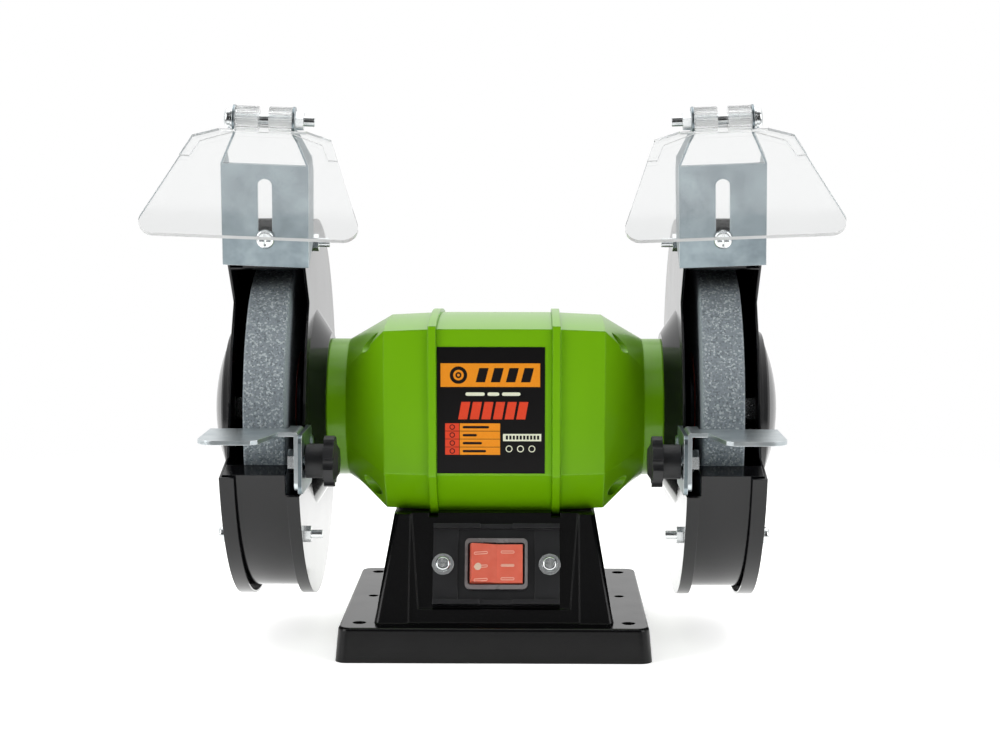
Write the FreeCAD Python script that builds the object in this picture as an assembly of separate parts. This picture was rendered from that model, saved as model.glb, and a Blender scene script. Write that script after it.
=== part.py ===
"""Bench grinder with two guarded wheels on a pedestal base.

The row frame has +X along the shaft, to the right of someone who stands at the
grinder, +Y away from them and +Z up. The origin is the centre of the base's
underside. Pieces that exist on both sides are modelled on the right side and
mirrored to the left.
"""
import FreeCAD, Part
import math
import os

V = FreeCAD.Vector
X_AXIS = V(1, 0, 0)
Y_AXIS = V(0, 1, 0)
Z_AXIS = V(0, 0, 1)
OUT_DIR = "parts"

# ---------------------------------------------------------------- driving sizes, mm
shaft_height = 116.5

# fits and clearances
seat_gap = 0.02          # between pieces that seat on a round face of the same body
hole_gap = 0.3           # radial play of a screw in its clearance hole
slide_gap = 0.15         # between flat faces that slide on each other
turn_gap = 0.4           # radial play of pieces that turn in each other
bearing_fit = 0.01       # bearing ring on its shaft or in its housing

# base casting
base_length = 154.5
base_depth = 156.0
base_height = 16.9
base_draft = 1.5
base_corner = 6.0
base_edge_r = 1.5
base_wall = 4.0
base_deck = 3.8
bolt_spacing_x = base_length - 22.5
bolt_spacing_y = base_depth - 28.0
bolt_hole_r = 3.25
bolt_boss_r = 8.0
pedestal_bottom_x = 59.0
pedestal_bottom_y = 66.0
pedestal_top_x = 50.0
pedestal_top_y = 45.0
pedestal_wall = 4.0
pedestal_corner_r = 3.0
rim_groove_gap = 0.3
column_inner_x = 42.0
panel_depth = 5.0
panel_bottom_x = 37.5
panel_top_x = 41.5
panel_ledge_z = 23.0
wire_hole_r = 7.0

# bottom cover
cover_sheet = 1.5
cover_recess = 1.5
cover_edge_gap = 0.5
cover_screw_r = 2.0
cover_screw_head_r = 3.6
cover_screw_head = 1.2
cover_screw_length = 8.0
cover_post_r = 4.5
cover_post_x = base_length / 2 - 13.25
cover_post_y = base_depth / 2 - 11.0
deck_pilot_r = 2.45

# switch group, on the slanted front of the pedestal
switch_x = 1.0            # the group sits this far right of the middle
switch_drop = 2.4         # and this far below the middle of the panel
plate_width = 62.7
plate_height = 40.5
plate_sheet = 2.0
plate_lip = 2.3
plate_lip_reach = 3.0
plate_notch = 16.0
plate_recess_width = 38.0
plate_recess = 0.8
plate_screw_x = 26.4
plate_screw_r = 2.0
plate_screw_head_r = 3.75
plate_screw_head = 2.4
plate_screw_length = 11.0
plate_washer_r = 5.35
plate_washer = 1.0
bezel_width = 31.0
bezel_height = 25.5
bezel_sheet = 2.0
bezel_corner = 2.5
rocker_width = 27.0
rocker_height = 20.0
rocker_tilt = 8.0
rocker_thick = 6.0
rocker_face = 1.6         # its face ahead of its pivot
rocker_keel = 0.35        # half width of its flat back, as a share of its reach
switch_depth = 24.0
switch_wall = 1.2
switch_blade = (0.8, 7.0, 4.8)    # thickness, length and width of a terminal
switch_blade_x = 8.0
switch_blade_z = 5.0
boot_sheet = 1.2
boot_play = 0.6
boot_corner = 1.5

# motor housing, sizes from the shaft axis
housing_half_depth = 53.0
housing_top = 48.0
housing_shoulder = 44.0
housing_bottom = 48.8
housing_chamfer = 20.8
housing_draft = 1.3
shell_half = 28.5
rim_width = 4.0
rim_proud = 1.8
bell_end = 54.4
cone_end = 74.7
neck_r = 35.0
neck_end = 84.4
bell_wall = 3.5
tie_top = (38.0, 36.0)
tie_bottom = (33.0, -36.0)
tie_bolt_r = 2.5
tie_lug_r = 6.5
tie_pocket_r = 4.8
tie_head_r = 4.2
tie_head = 4.0
tie_seat_x = 52.5
foot_bolt_x = 18.0
foot_bolt_y = 20.0
foot_bolt_r = 3.0
foot_bolt_grip = 8.0
foot_bolt_head = 4.0
foot_bolt_flats = 10.0

# motor
core_half = 28.0
core_r = 42.0
core_bore_r = 26.0
air_gap = 0.4
winding_reach = 17.0
winding_outer_r = 40.0
winding_inner_r = 27.5
rotor_ring_reach = 5.0
rotor_ring_inner_r = 14.0
rotor_shaft_r = 9.0
bearing_r = 17.5
bearing_bore_r = 7.5
bearing_width = 11.0
bearing_start = neck_end - 14.4
bearing_ring = 2.6
ball_r = 2.4
ball_count = 8
ball_gap = 0.3

# wheels and spindle ends
wheel_r = 75.0
wheel_width = 20.0
wheel_chamfer = 0.8
arbor_r = 6.35
flange_r = 24.0
flange_width = 4.7
flange_relief_r = 17.0
flange_relief = 0.8
nut_flats = 19.0
nut_height = 8.0

# guards
guard_inner_x = neck_end + 7.6
wheel_start = guard_inner_x + 8.7
guard_outer_x = wheel_start + wheel_width + 9.1
spindle_end = wheel_start + wheel_width + flange_width + nut_height + 1.6
spindle_chamfer = 1.5
band_r = wheel_r + 16.8
guard_r = band_r + 4.2
guard_sheet = 1.2
inner_lip = 6.0
outer_lip = 7.0
hub_flare_r = 50.0
hub_r = 38.0
hub_bore_r = 11.0
hub_screw_circle_r = 26.0
hub_screw_r = 2.5
hub_screw_head_r = 4.6
hub_screw_head = 2.8
hub_screw_length = 14.0
dome_x = guard_outer_x + 14.0
dome_steps = ((46.0, 3.0), (40.5, 6.0), (35.0, 7.5))    # outer radius and rise of each pressed ring
ring_slope = 2.0
cover_bolt_circle_r = band_r - 4.6
cover_bolt_angles = (103.5, 219.0, 340.0)
cover_bolt_r = 2.0
cover_bolt_head_r = 4.0
cover_bolt_head = 3.0
cover_bolt_washer_r = 4.6
cover_bolt_washer = 1.0
cover_bolt_nut_flats = 7.0
cover_bolt_nut = 3.2
cover_bolt_tail = 5.5
# the eye shield bracket's screw, from the shaft axis to its place on the bracket's face
bracket_reach = guard_r + 12.9
bracket_angle = 54.3
bracket_face_y = -bracket_reach * math.cos(math.radians(bracket_angle))
bracket_screw_z = bracket_reach * math.sin(math.radians(bracket_angle))
# edge of the guard's mouth (y, z) from the shaft axis, from the rim under the bracket to the lower rim
mouth_edge = ((bracket_face_y + 6.5, bracket_screw_z - 11.4), (bracket_face_y + 26.5, bracket_screw_z - 32.4),
              (46.0 - guard_r, 35.0), (36.0 - guard_r, 8.0), (30.0 - guard_r, -17.5), (3.5 - guard_r, -23.7))
mouth_reach = 60.0
shelf_length = 12.5

# tool rest
rest_sheet = 2.0
rest_top_z = -2.0
rest_gap = 2.0
rest_front_y = -guard_r - 27.0
rest_outer_x = guard_outer_x + 6.2
rest_table_x = guard_inner_x + 12.5
rest_slant = 3.0          # half the run of the slant between the neck and the table's front
rest_neck_front_y = 4.0 - guard_r
rest_neck_back_y = 30.0 - guard_r
rest_neck_clear_x = guard_inner_x + 6.5
rest_leg_z = -30.3
rest_leg_corner_r = 4.0
rest_corner_r = 9.0
rest_bolt_y = 17.0 - guard_r
rest_bolt_z = -17.4
rest_bolt_r = 3.0
rest_bolt_flats = 10.0
rest_bolt_head = 4.0
rest_slide_out = 10.0
rest_slide_in = 1.5
support_sheet = 2.0
support_front_y = -guard_r
support_back_y = 45.0 - guard_r
support_top_z = -3.0
support_bottom_z = -31.5
support_corner_r = 4.0
relief_gap = 0.85         # from the rest's bolt to the room cut for it
relief_z = rest_leg_z - 2.7
relief_y = rest_neck_back_y + 4.0
relief_x = guard_inner_x + slide_gap + rest_sheet + rest_bolt_head + relief_gap
rivet_r = 2.0
rivet_head_r = 3.6
rivet_head = 1.4
rivet_y = 39.0 - guard_r
rivet_rise = 7.0
knob_stem_r = 8.25
knob_stem_end = guard_inner_x - 11.2
knob_head_x = knob_stem_end - 5.0
knob_gap = 0.5            # from its stem to the support
knob_head_r = 12.25
knob_lobes = 7
knob_flute_r = 2.6
knob_crown = 2.0

# eye shield bracket, local frame: x along the shaft, -y its face, +z up its slope
bracket_x = (guard_inner_x + inner_lip + guard_outer_x - outer_lip) / 2 - 0.3
bracket_lean = 19.0
bracket_cant = 2.4
bracket_sheet = 1.2
bracket_width = guard_outer_x - guard_inner_x + 4.1
bracket_below = 14.3
bracket_above = 37.0
bracket_flange = 24.0
bracket_flange_cut = 6.0
slot_r = 3.35
slot_run = 26.4
arm_gap = 27.0
arm_bend_z = 52.5
arm_depth = 15.0
hinge_z = 59.5
hinge_y = 1.4
eye_r = 6.5
hinge_bolt_r = 2.5
hinge_head_r = 4.75
hinge_head = 3.0
hinge_washer_r = 5.5
hinge_washer = 1.0
hinge_nut_flats = 8.0
hinge_nut = 4.0
hinge_tail = 5.0
bracket_screw_r = 2.5
bracket_screw_head_r = 4.6
bracket_screw_head = 2.6
bracket_nut_flats = 8.0
bracket_nut = 4.0
tab_sheet = 2.0
tab_width = guard_outer_x - guard_inner_x - inner_lip - outer_lip - 0.8
tab_above = 8.7
tab_below = 15.6
tab_foot = 16.0
tab_corner_r = 4.0

# eye shield
tube_r = 6.25
tube_length = 10.8
tube_gap = 5.0
tube_ribs = 14
tube_groove_r = 0.6
eye_room = 1.6
eye_room_width = 7.0
shield_hang = 37.0
shield_sheet = 2.4
shield_length = 68.0
shield_bottom_width = 106.0
shield_bottom_shift = 2.0     # its low corners sit this far outwards
shield_top_width = 65.0
shield_top = 12.0
shield_neck = 5.0
shield_neck_width = 27.0
shield_corner_r = 7.0
shield_border = 4.0
shield_border_proud = 0.8
shield_border_run = 24.0

# electrical pieces inside the pedestal, and the cable inlet at its back
capacitor_r = 15.0
capacitor_edge_r = 1.5
capacitor_length = 56.0
capacitor_y = 22.0
terminal_size = (36.0, 12.0, 13.0)
terminal_y = -18.0
terminal_ways = 4
terminal_screw_r = 2.2
terminal_wire_r = 1.6
gland_z = 36.0
gland_boss_r = 12.0
gland_boss_y = 63.0
gland_thread_r = 7.9
gland_thread = 12.0
gland_bore_r = 4.0
gland_hex_flats = 19.0
gland_hex = 5.0
gland_nose = 14.0
gland_nose_r = 5.5

# rating label
label_width = 53.0
label_height = 62.4
label_sheet = 0.25
label_x = -1.6
label_z = 4.1

deck_z = base_height
saddle_z = shaft_height - housing_bottom


# ---------------------------------------------------------------- helpers
def box(x0, x1, y0, y1, z0, z1):
    """Block between two corners, given as low and high values."""
    return Part.makeBox(x1 - x0, y1 - y0, z1 - z0, V(x0, y0, z0))


def rod(start, direction, radius, length):
    """Solid cylinder from start along direction."""
    return Part.makeCylinder(radius, length, start, direction)


def sleeve(start, direction, outer_r, inner_r, length):
    """Tube from start along direction."""
    return rod(start, direction, outer_r, length).cut(rod(start, direction, inner_r, length))


def prism(points, reach):
    """Straight-sided solid: a flat polygon moved along the vector reach."""
    return Part.Face(Part.makePolygon(points + [points[0]])).extrude(reach)


def hexagon(start, direction, flats, height):
    """Hexagonal prism from start along direction, with flats as its width."""
    corner_r = flats / math.sqrt(3)
    ring = [V(corner_r * math.cos(math.radians(60 * k)), corner_r * math.sin(math.radians(60 * k)), 0)
            for k in range(6)]
    shape = prism(ring, V(0, 0, height))
    chamfer_cone = Part.makeCone(corner_r + height, corner_r * 0.9, height / 2 + corner_r * 0.05,
                                 V(0, 0, height / 2), Z_AXIS)
    top = box(-corner_r, corner_r, -corner_r, corner_r, 0, height / 2)
    shape = shape.common(top.fuse(chamfer_cone))
    shape.Placement = FreeCAD.Placement(start, FreeCAD.Rotation(Z_AXIS, direction))
    return shape


def pan_head(start, direction, radius, height):
    """Domed screw head with a cross recess, standing on start."""
    head = rod(V(0, 0, 0), Z_AXIS, radius, height)
    head = head.makeFillet(height * 0.6, [head.Edges[0]])
    arm = radius * 0.9
    slit = radius * 0.22
    floor = height * 0.45
    cross = box(-arm / 1.5, arm / 1.5, -slit / 2, slit / 2, floor, height + 1)
    cross = cross.fuse(box(-slit / 2, slit / 2, -arm / 1.5, arm / 1.5, floor, height + 1))
    head = head.cut(cross)
    head.Placement = FreeCAD.Placement(start, FreeCAD.Rotation(Z_AXIS, direction))
    return head


def revolve_about_shaft(profile):
    """Solid turned about the shaft axis from (x, r) points."""
    points = [V(x, 0, shaft_height + r) for x, r in profile]
    face = Part.Face(Part.makePolygon(points + [points[0]]))
    return face.revolve(V(0, 0, shaft_height), X_AXIS, 360)


def at_axis(x, y=0.0, z=0.0):
    """Point given from the shaft axis."""
    return V(x, y, shaft_height + z)


def joined(shapes):
    """One solid from touching or overlapping ones."""
    result = shapes[0].multiFuse(shapes[1:]) if len(shapes) > 1 else shapes[0]
    return result.removeSplitter()


def placed(shape, placement):
    """Shape moved by placement, which its own placement follows."""
    moved = shape.copy()
    moved.Placement = placement.multiply(shape.Placement)
    return moved


def mirrored(shape):
    """The same piece on the other side of the grinder."""
    return shape.mirror(V(0, 0, 0), X_AXIS)


def save(name, solids):
    """Write one node, as one solid or a group of separate ones."""
    shape = solids[0] if len(solids) == 1 else Part.makeCompound(solids)
    shape.exportStep(os.path.join(OUT_DIR, name + ".step"))


def rounded_block(width, depth, height, corner_r, draft=0.0):
    """Block on z = 0 with round upright corners, narrower by draft at its top."""
    def outline(half_x, half_y, z):
        r = corner_r
        edges = []
        for sx, sy, turn in ((1, 1, 0), (-1, 1, 90), (-1, -1, 180), (1, -1, 270)):
            centre = V(sx * (half_x - r), sy * (half_y - r), z)
            at = [centre + V(r * math.cos(math.radians(turn + a)), r * math.sin(math.radians(turn + a)), 0)
                  for a in (0, 45, 90)]
            edges.append(Part.Arc(at[0], at[1], at[2]).toShape())
        wire_edges = []
        for k, arc in enumerate(edges):
            following = edges[(k + 1) % 4]
            wire_edges.append(arc)
            wire_edges.append(Part.makeLine(arc.Vertexes[-1].Point, following.Vertexes[0].Point))
        return Part.Wire(wire_edges)
    low = outline(width / 2, depth / 2, 0)
    high = outline(width / 2 - draft, depth / 2 - draft, height)
    return Part.makeLoft([low, high], True, True)


# ---------------------------------------------------------------- motor housing section
crown_rise = housing_top - housing_shoulder
crown_r = (housing_half_depth ** 2 + crown_rise ** 2) / (2 * crown_rise)


def housing_corners(inset):
    """Corner points (y, z) of the housing's section from the shaft axis, front side first."""
    half = housing_half_depth - inset
    shoulder = housing_top - crown_r + math.sqrt((crown_r - inset) ** 2 - half ** 2)
    bottom = housing_bottom - inset
    reach = housing_half_depth + housing_bottom - housing_chamfer - inset * math.sqrt(2)
    return [(-half, half - reach), (-half, shoulder), (half, shoulder), (half, half - reach),
            (reach - bottom, -bottom), (bottom - reach, -bottom)]


def housing_outline(x, inset=0.0):
    """Closed outline of the housing at x: flat sides, crowned top, slanted lower corners."""
    corners = [at_axis(x, y, z) for y, z in housing_corners(inset)]
    edges = []
    for k, corner in enumerate(corners):
        following = corners[(k + 1) % len(corners)]
        if k == 1:
            apex = at_axis(x, 0, housing_top - inset)
            edges.append(Part.Arc(corner, apex, following).toShape())
        else:
            edges.append(Part.makeLine(corner, following))
    return Part.Wire(edges)


def round_outline(x, radius):
    """Circle at x, in as many arcs as the housing's outline has edges."""
    angles = [math.atan2(z, y) for y, z in housing_corners(0.0)]
    arcs = []
    for k, start in enumerate(angles):
        end = angles[(k + 1) % len(angles)]
        sweep = (start - end) % (2 * math.pi)
        at = [at_axis(x, radius * math.cos(start - sweep * share), radius * math.sin(start - sweep * share))
              for share in (0.0, 0.5, 1.0)]
        arcs.append(Part.Arc(at[0], at[1], at[2]).toShape())
    return Part.Wire(arcs)


def housing_length(x0, x1, inset0=0.0, inset1=0.0):
    """Stretch of the housing between two sections."""
    return Part.makeLoft([housing_outline(x0, inset0), housing_outline(x1, inset1)], True, True)


def tie_places():
    """The four tie bolts' places (y, z) from the shaft axis."""
    places = []
    for y, z in (tie_top, tie_bottom):
        places += [(-y, z), (y, z)]
    return places


# ---------------------------------------------------------------- base
def slanted_block(bottom_x, bottom_y, top_x, top_y, z0, z1):
    """Block with four slanted sides between z0 and z1."""
    wires = []
    for half_x, half_y, z in ((bottom_x, bottom_y, z0), (top_x, top_y, z1)):
        points = [V(-half_x, -half_y, z), V(half_x, -half_y, z), V(half_x, half_y, z), V(-half_x, half_y, z)]
        wires.append(Part.makePolygon(points + [points[0]]))
    return Part.makeLoft(wires, True, True)


panel_rise = saddle_z - deck_z
panel_slope = math.degrees(math.atan((pedestal_bottom_y - pedestal_top_y) / panel_rise))


def front_y(z):
    """Front face of the pedestal's columns at height z."""
    return -pedestal_bottom_y + (pedestal_bottom_y - pedestal_top_y) * (z - deck_z) / panel_rise


def panel_pocket():
    """The recess between the columns, cut into the slanted front."""
    corners = ((-panel_bottom_x, panel_ledge_z), (panel_bottom_x, panel_ledge_z),
               (panel_top_x, saddle_z + 1), (-panel_top_x, saddle_z + 1))
    outline = [V(x, front_y(z) + panel_depth, z) for x, z in corners]
    return prism(outline, V(0, -pedestal_bottom_y, 0))


def column_relief():
    """The shallow step between the two columns, from the deck to the saddle."""
    corners = ((-column_inner_x, deck_z), (column_inner_x, deck_z),
               (column_inner_x, saddle_z + 1), (-column_inner_x, saddle_z + 1))
    outline = [V(x, front_y(z) + panel_depth / 2, z) for x, z in corners]
    return prism(outline, V(0, -pedestal_bottom_y, 0))


def bolt_places():
    return [(sx * bolt_spacing_x / 2, sy * bolt_spacing_y / 2) for sx in (-1, 1) for sy in (-1, 1)]


def cover_screw_places():
    return [(-cover_post_x, 0.0), (cover_post_x, 0.0), (0.0, -cover_post_y), (0.0, cover_post_y)]


def base_inside():
    """Hollow of the base plate, open downwards."""
    return rounded_block(base_length - 2 * base_wall, base_depth - 2 * base_wall, base_height - base_deck,
                         base_corner - base_wall / 2, base_draft)


def base_casting():
    slab = rounded_block(base_length, base_depth, base_height, base_corner, base_draft)
    slab = slab.makeFillet(base_edge_r, [e for e in slab.Edges if abs(e.CenterOfMass.z - base_height) < 0.01])
    pedestal = slanted_block(pedestal_bottom_x, pedestal_bottom_y, pedestal_top_x, pedestal_top_y,
                             deck_z - 1, saddle_z)
    pedestal = pedestal.makeFillet(pedestal_corner_r, [e for e in pedestal.Edges
                                                       if abs(e.Vertexes[0].Z - e.Vertexes[-1].Z) > 1])
    boss = rod(V(0, 0, gland_z), Y_AXIS, gland_boss_r, gland_boss_y)
    body = slab.fuse(pedestal).cut(panel_pocket()).cut(column_relief())
    body = body.fuse(boss)
    wall = pedestal_wall + panel_depth
    hollow = slanted_block(pedestal_bottom_x - pedestal_wall, pedestal_bottom_y - wall,
                           pedestal_top_x - pedestal_wall, pedestal_top_y - wall,
                           0, saddle_z - pedestal_wall)
    body = body.cut(hollow).cut(base_inside())
    posts = [rod(V(x, y, 0), Z_AXIS, bolt_boss_r, base_height - 1) for x, y in bolt_places()]
    posts += [rod(V(x, y, cover_recess + cover_sheet), Z_AXIS, cover_post_r,
                  base_height - 1 - cover_recess - cover_sheet) for x, y in cover_screw_places()]
    body = body.multiFuse([post.common(slab) for post in posts])
    holes = [rod(V(x, y, -1), Z_AXIS, bolt_hole_r, base_height + 2) for x, y in bolt_places()]
    holes += [rod(V(x, y, 0), Z_AXIS, cover_screw_r, cover_screw_length + cover_recess + 1)
              for x, y in cover_screw_places()]
    holes += [rod(V(x, 0, cover_screw_length), Z_AXIS, deck_pilot_r, base_height)
              for x in (-cover_post_x, cover_post_x)]
    holes += [rod(V(x, y, saddle_z - 10), Z_AXIS, foot_bolt_r + hole_gap, 20) for x, y in foot_bolt_places()]
    for side in (-1, 1):
        middle = side * (shell_half + rim_width / 2)
        half_groove = rim_width / 2 + rim_groove_gap
        holes.append(box(middle - half_groove, middle + half_groove, -pedestal_bottom_y, pedestal_bottom_y,
                         saddle_z - rim_proud - rim_groove_gap, saddle_z + 1))
    holes.append(rod(V(0, 0, saddle_z - 10), Z_AXIS, wire_hole_r, 20))
    holes.append(rod(V(0, 0, gland_z), Y_AXIS, gland_thread_r + seat_gap, gland_boss_y + 5))
    switch_cut = box(-rocker_width / 2 - switch_wall - 1, rocker_width / 2 + switch_wall + 1, -1, 20,
                     -rocker_height / 2 - switch_wall - 1, rocker_height / 2 + switch_wall + 1)
    holes.append(placed(switch_cut, switch_place))
    for side in (-1, 1):
        holes.append(placed(rod(V(side * plate_screw_x, -1, 0), Y_AXIS, plate_screw_r, 15), switch_place))
    return body.cut(holes).removeSplitter()


def bottom_cover():
    inner = rounded_block(base_length - 2 * (base_wall + cover_edge_gap),
                          base_depth - 2 * (base_wall + cover_edge_gap), 30, base_corner - base_wall / 2)
    sheet = inner.common(box(-200, 200, -200, 200, cover_recess, cover_recess + cover_sheet))
    gaps = [rod(V(x, y, 0), Z_AXIS, bolt_boss_r + cover_edge_gap, 10) for x, y in bolt_places()]
    gaps += [rod(V(x, y, 0), Z_AXIS, cover_screw_r + hole_gap, 10) for x, y in cover_screw_places()]
    return sheet.cut(gaps)


def bottom_cover_screws():
    screws = []
    for x, y in cover_screw_places():
        head = pan_head(V(x, y, cover_recess), -Z_AXIS, cover_screw_head_r, cover_screw_head)
        shank = rod(V(x, y, cover_recess), Z_AXIS, cover_screw_r, cover_screw_length)
        screws.append(head.fuse(shank))
    return screws


def foot_bolt_places():
    return [(sx * foot_bolt_x, sy * foot_bolt_y) for sx in (-1, 1) for sy in (-1, 1)]


def motor_mount_bolts():
    bolts = []
    seat = saddle_z - pedestal_wall
    for x, y in foot_bolt_places():
        head = hexagon(V(x, y, seat), -Z_AXIS, foot_bolt_flats, foot_bolt_head)
        bolts.append(head.fuse(rod(V(x, y, seat), Z_AXIS, foot_bolt_r, pedestal_wall + foot_bolt_grip)))
    return bolts


# ---------------------------------------------------------------- switch group
# local frame on the slanted panel: x to the right, +y into the pedestal, +z up the slope
switch_z = (panel_ledge_z + saddle_z) / 2 - switch_drop
switch_place = FreeCAD.Placement(V(switch_x, front_y(switch_z) + panel_depth, switch_z),
                                 FreeCAD.Rotation(X_AXIS, -panel_slope))
pivot_y = -plate_sheet - bezel_sheet + 1.0


def soft_frame(width, height, y0, y1, corner_r):
    """Block with rounded corners, between y0 and y1, centred on the local y axis."""
    block = box(-width / 2, width / 2, y0, y1, -height / 2, height / 2)
    upright = [e for e in block.Edges if abs(e.tangentAt(e.FirstParameter).y) > 0.9]
    return block.makeFillet(corner_r, upright)


def switch_plate():
    half_x = plate_width / 2
    half_z = plate_height / 2
    plate = box(-half_x, half_x, -plate_sheet, 0, -half_z, half_z)
    half_recess = plate_recess_width / 2
    plate = plate.cut(box(-half_recess, half_recess, -plate_sheet - 1, -plate_sheet + plate_recess,
                          -half_z + plate_lip, half_z - plate_lip))
    for low in (-half_z, half_z - plate_lip):
        lip = box(-half_x, half_x, -plate_sheet - plate_lip_reach, -plate_sheet, low, low + plate_lip)
        notch = box(-plate_notch / 2, plate_notch / 2, -plate_sheet - plate_lip_reach - 1,
                    -plate_sheet - plate_lip_reach / 2, low - 1, low + plate_lip + 1)
        plate = plate.fuse(lip.cut(notch))
    opening = box(-rocker_width / 2 - switch_wall - hole_gap, rocker_width / 2 + switch_wall + hole_gap, -9, 9,
                  -rocker_height / 2 - switch_wall - hole_gap, rocker_height / 2 + switch_wall + hole_gap)
    holes = [rod(V(side * plate_screw_x, -9, 0), Y_AXIS, plate_screw_r + hole_gap, 18) for side in (-1, 1)]
    return placed(plate.cut([opening] + holes).removeSplitter(), switch_place)


def switch_plate_screws():
    pieces = []
    for side in (-1, 1):
        x = side * plate_screw_x
        seat = V(x, -plate_sheet - plate_washer, 0)
        washer = sleeve(seat, Y_AXIS, plate_washer_r, plate_screw_r + hole_gap, plate_washer)
        head = pan_head(seat, -Y_AXIS, plate_screw_head_r, plate_screw_head)
        screw = head.fuse(rod(seat, Y_AXIS, plate_screw_r, plate_screw_length))
        pieces += [placed(washer, switch_place), placed(screw, switch_place)]
    return pieces


def switch_housing():
    seat = -plate_sheet + plate_recess
    bezel = soft_frame(bezel_width, bezel_height, seat - bezel_sheet, seat, bezel_corner)
    half_x = rocker_width / 2
    half_z = rocker_height / 2
    block = box(-half_x - switch_wall, half_x + switch_wall, seat, switch_depth, -half_z - switch_wall,
                half_z + switch_wall)
    pocket = box(-half_x, half_x, seat - bezel_sheet - 1, pivot_y + rocker_thick + 4, -half_z, half_z)
    housing = bezel.fuse(block).cut(pocket)
    pieces = [placed(housing, switch_place)]
    thick, length, width = switch_blade
    for x in (-switch_blade_x, 0.0, switch_blade_x):
        for z in (-switch_blade_z, switch_blade_z):
            blade = box(x - thick / 2, x + thick / 2, switch_depth, switch_depth + length,
                        z - width / 2, z + width / 2)
            pieces.append(placed(blade, switch_place))
    return pieces


def switch_boot():
    front = -plate_sheet + plate_recess - bezel_sheet
    outer = soft_frame(bezel_width, bezel_height, front - boot_sheet, front, bezel_corner)
    inner = soft_frame(rocker_width + 2 * boot_play, rocker_height + 2 * boot_play, front - boot_sheet - 1,
                       front + 1, boot_corner)
    return placed(outer.cut(inner), switch_place)


def switch_rocker():
    """Shallow V across the front, round ends about the pivot, tipped to its off side."""
    reach = rocker_width / 2 - turn_gap
    half_z = rocker_height / 2 - turn_gap
    rise = reach * math.tan(math.radians(rocker_tilt))
    face = pivot_y - rocker_face
    keel = reach * rocker_keel
    outline = [V(-reach, face - rise, 0), V(0, face, 0), V(reach, face - rise, 0),
               V(reach, pivot_y + rocker_thick / 2, 0), V(keel, pivot_y + rocker_thick, 0),
               V(-keel, pivot_y + rocker_thick, 0), V(-reach, pivot_y + rocker_thick / 2, 0)]
    body = prism([p + V(0, 0, -half_z) for p in outline], V(0, 0, 2 * half_z))
    body = body.common(rod(V(0, pivot_y, -half_z), Z_AXIS, reach, 2 * half_z))
    tip = FreeCAD.Placement(V(0, 0, 0), FreeCAD.Rotation(Z_AXIS, rocker_tilt), V(0, pivot_y, 0))
    return placed(placed(body, tip), switch_place)


# ---------------------------------------------------------------- motor
def stator_shell():
    shell = housing_length(-shell_half, shell_half)
    shell = shell.cut(rod(at_axis(-shell_half), X_AXIS, core_r + seat_gap, 2 * shell_half))
    holes = [rod(at_axis(-shell_half, y, z), X_AXIS, tie_bolt_r + hole_gap, 2 * shell_half)
             for y, z in tie_places()]
    holes += [rod(V(x, y, saddle_z - 1), Z_AXIS, foot_bolt_r, foot_bolt_grip + 2) for x, y in foot_bolt_places()]
    holes.append(rod(V(0, 0, saddle_z - 1), Z_AXIS, wire_hole_r, housing_bottom - core_r + 2))
    return shell.cut(holes)


def end_bell():
    """Right end bell: rim, short drafted body, cone to a round neck, bearing seat and tie bolt pockets."""
    rim = housing_length(shell_half, shell_half + rim_width, -rim_proud, -rim_proud)
    body = housing_length(shell_half, bell_end, 0.0, housing_draft)
    cone = Part.makeLoft([housing_outline(bell_end, housing_draft), round_outline(cone_end, neck_r)], True, True)
    neck = rod(at_axis(cone_end), X_AXIS, neck_r, neck_end - cone_end)
    outer = joined([rim, body, cone, neck])
    bay_end = bell_end - bell_wall
    bay = housing_length(shell_half, bay_end, bell_wall, bell_wall + housing_draft)
    funnel = Part.makeLoft([housing_outline(bay_end, bell_wall + housing_draft),
                            round_outline(bearing_start, bearing_r + 4)], True, True)
    bell = outer.cut(bay.fuse(funnel))
    lugs = [rod(at_axis(shell_half, y, z), X_AXIS, tie_lug_r, cone_end - shell_half) for y, z in tie_places()]
    bell = bell.multiFuse([lug.common(outer) for lug in lugs])
    seat_end = bearing_start + bearing_width
    cuts = [rod(at_axis(shell_half, y, z), X_AXIS, tie_bolt_r + hole_gap, 40) for y, z in tie_places()]
    cuts += [rod(at_axis(tie_seat_x, y, z), X_AXIS, tie_pocket_r, 30) for y, z in tie_places()]
    cuts.append(rod(at_axis(bearing_start - 1), X_AXIS, bearing_r + bearing_fit, bearing_width + 1))
    cuts.append(rod(at_axis(seat_end - 1), X_AXIS, bearing_r - 3, neck_end))
    cuts += [rod(at_axis(neck_end - hub_screw_length, y, z), X_AXIS, hub_screw_r, neck_end)
             for y, z in hub_screw_places()]
    return bell.cut(cuts).removeSplitter()


def tie_bolts():
    """Two pan-headed rods a side pull both end bells onto the stator shell."""
    bolts = []
    for y, z in tie_places():
        shank = rod(at_axis(-tie_seat_x, y, z), X_AXIS, tie_bolt_r, 2 * tie_seat_x)
        head = pan_head(at_axis(tie_seat_x, y, z), X_AXIS, tie_head_r, tie_head)
        nut = hexagon(at_axis(-tie_seat_x, y, z), -X_AXIS, 2 * tie_head_r * math.cos(math.pi / 6), tie_head)
        bolts.append(joined([shank, head, nut]))
    return bolts


def stator_core():
    return sleeve(at_axis(-core_half), X_AXIS, core_r, core_bore_r, 2 * core_half)


def stator_windings():
    rings = []
    for side in (-1, 1):
        ring = sleeve(at_axis(side * core_half), V(side, 0, 0), winding_outer_r, winding_inner_r, winding_reach)
        outer_edges = [e for e in ring.Edges if hasattr(e.Curve, "Radius")
                       and abs(abs(e.Curve.Center.x) - core_half - winding_reach) < 0.01]
        rings.append(ring.makeFillet(4.0, outer_edges))
    return rings


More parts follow.
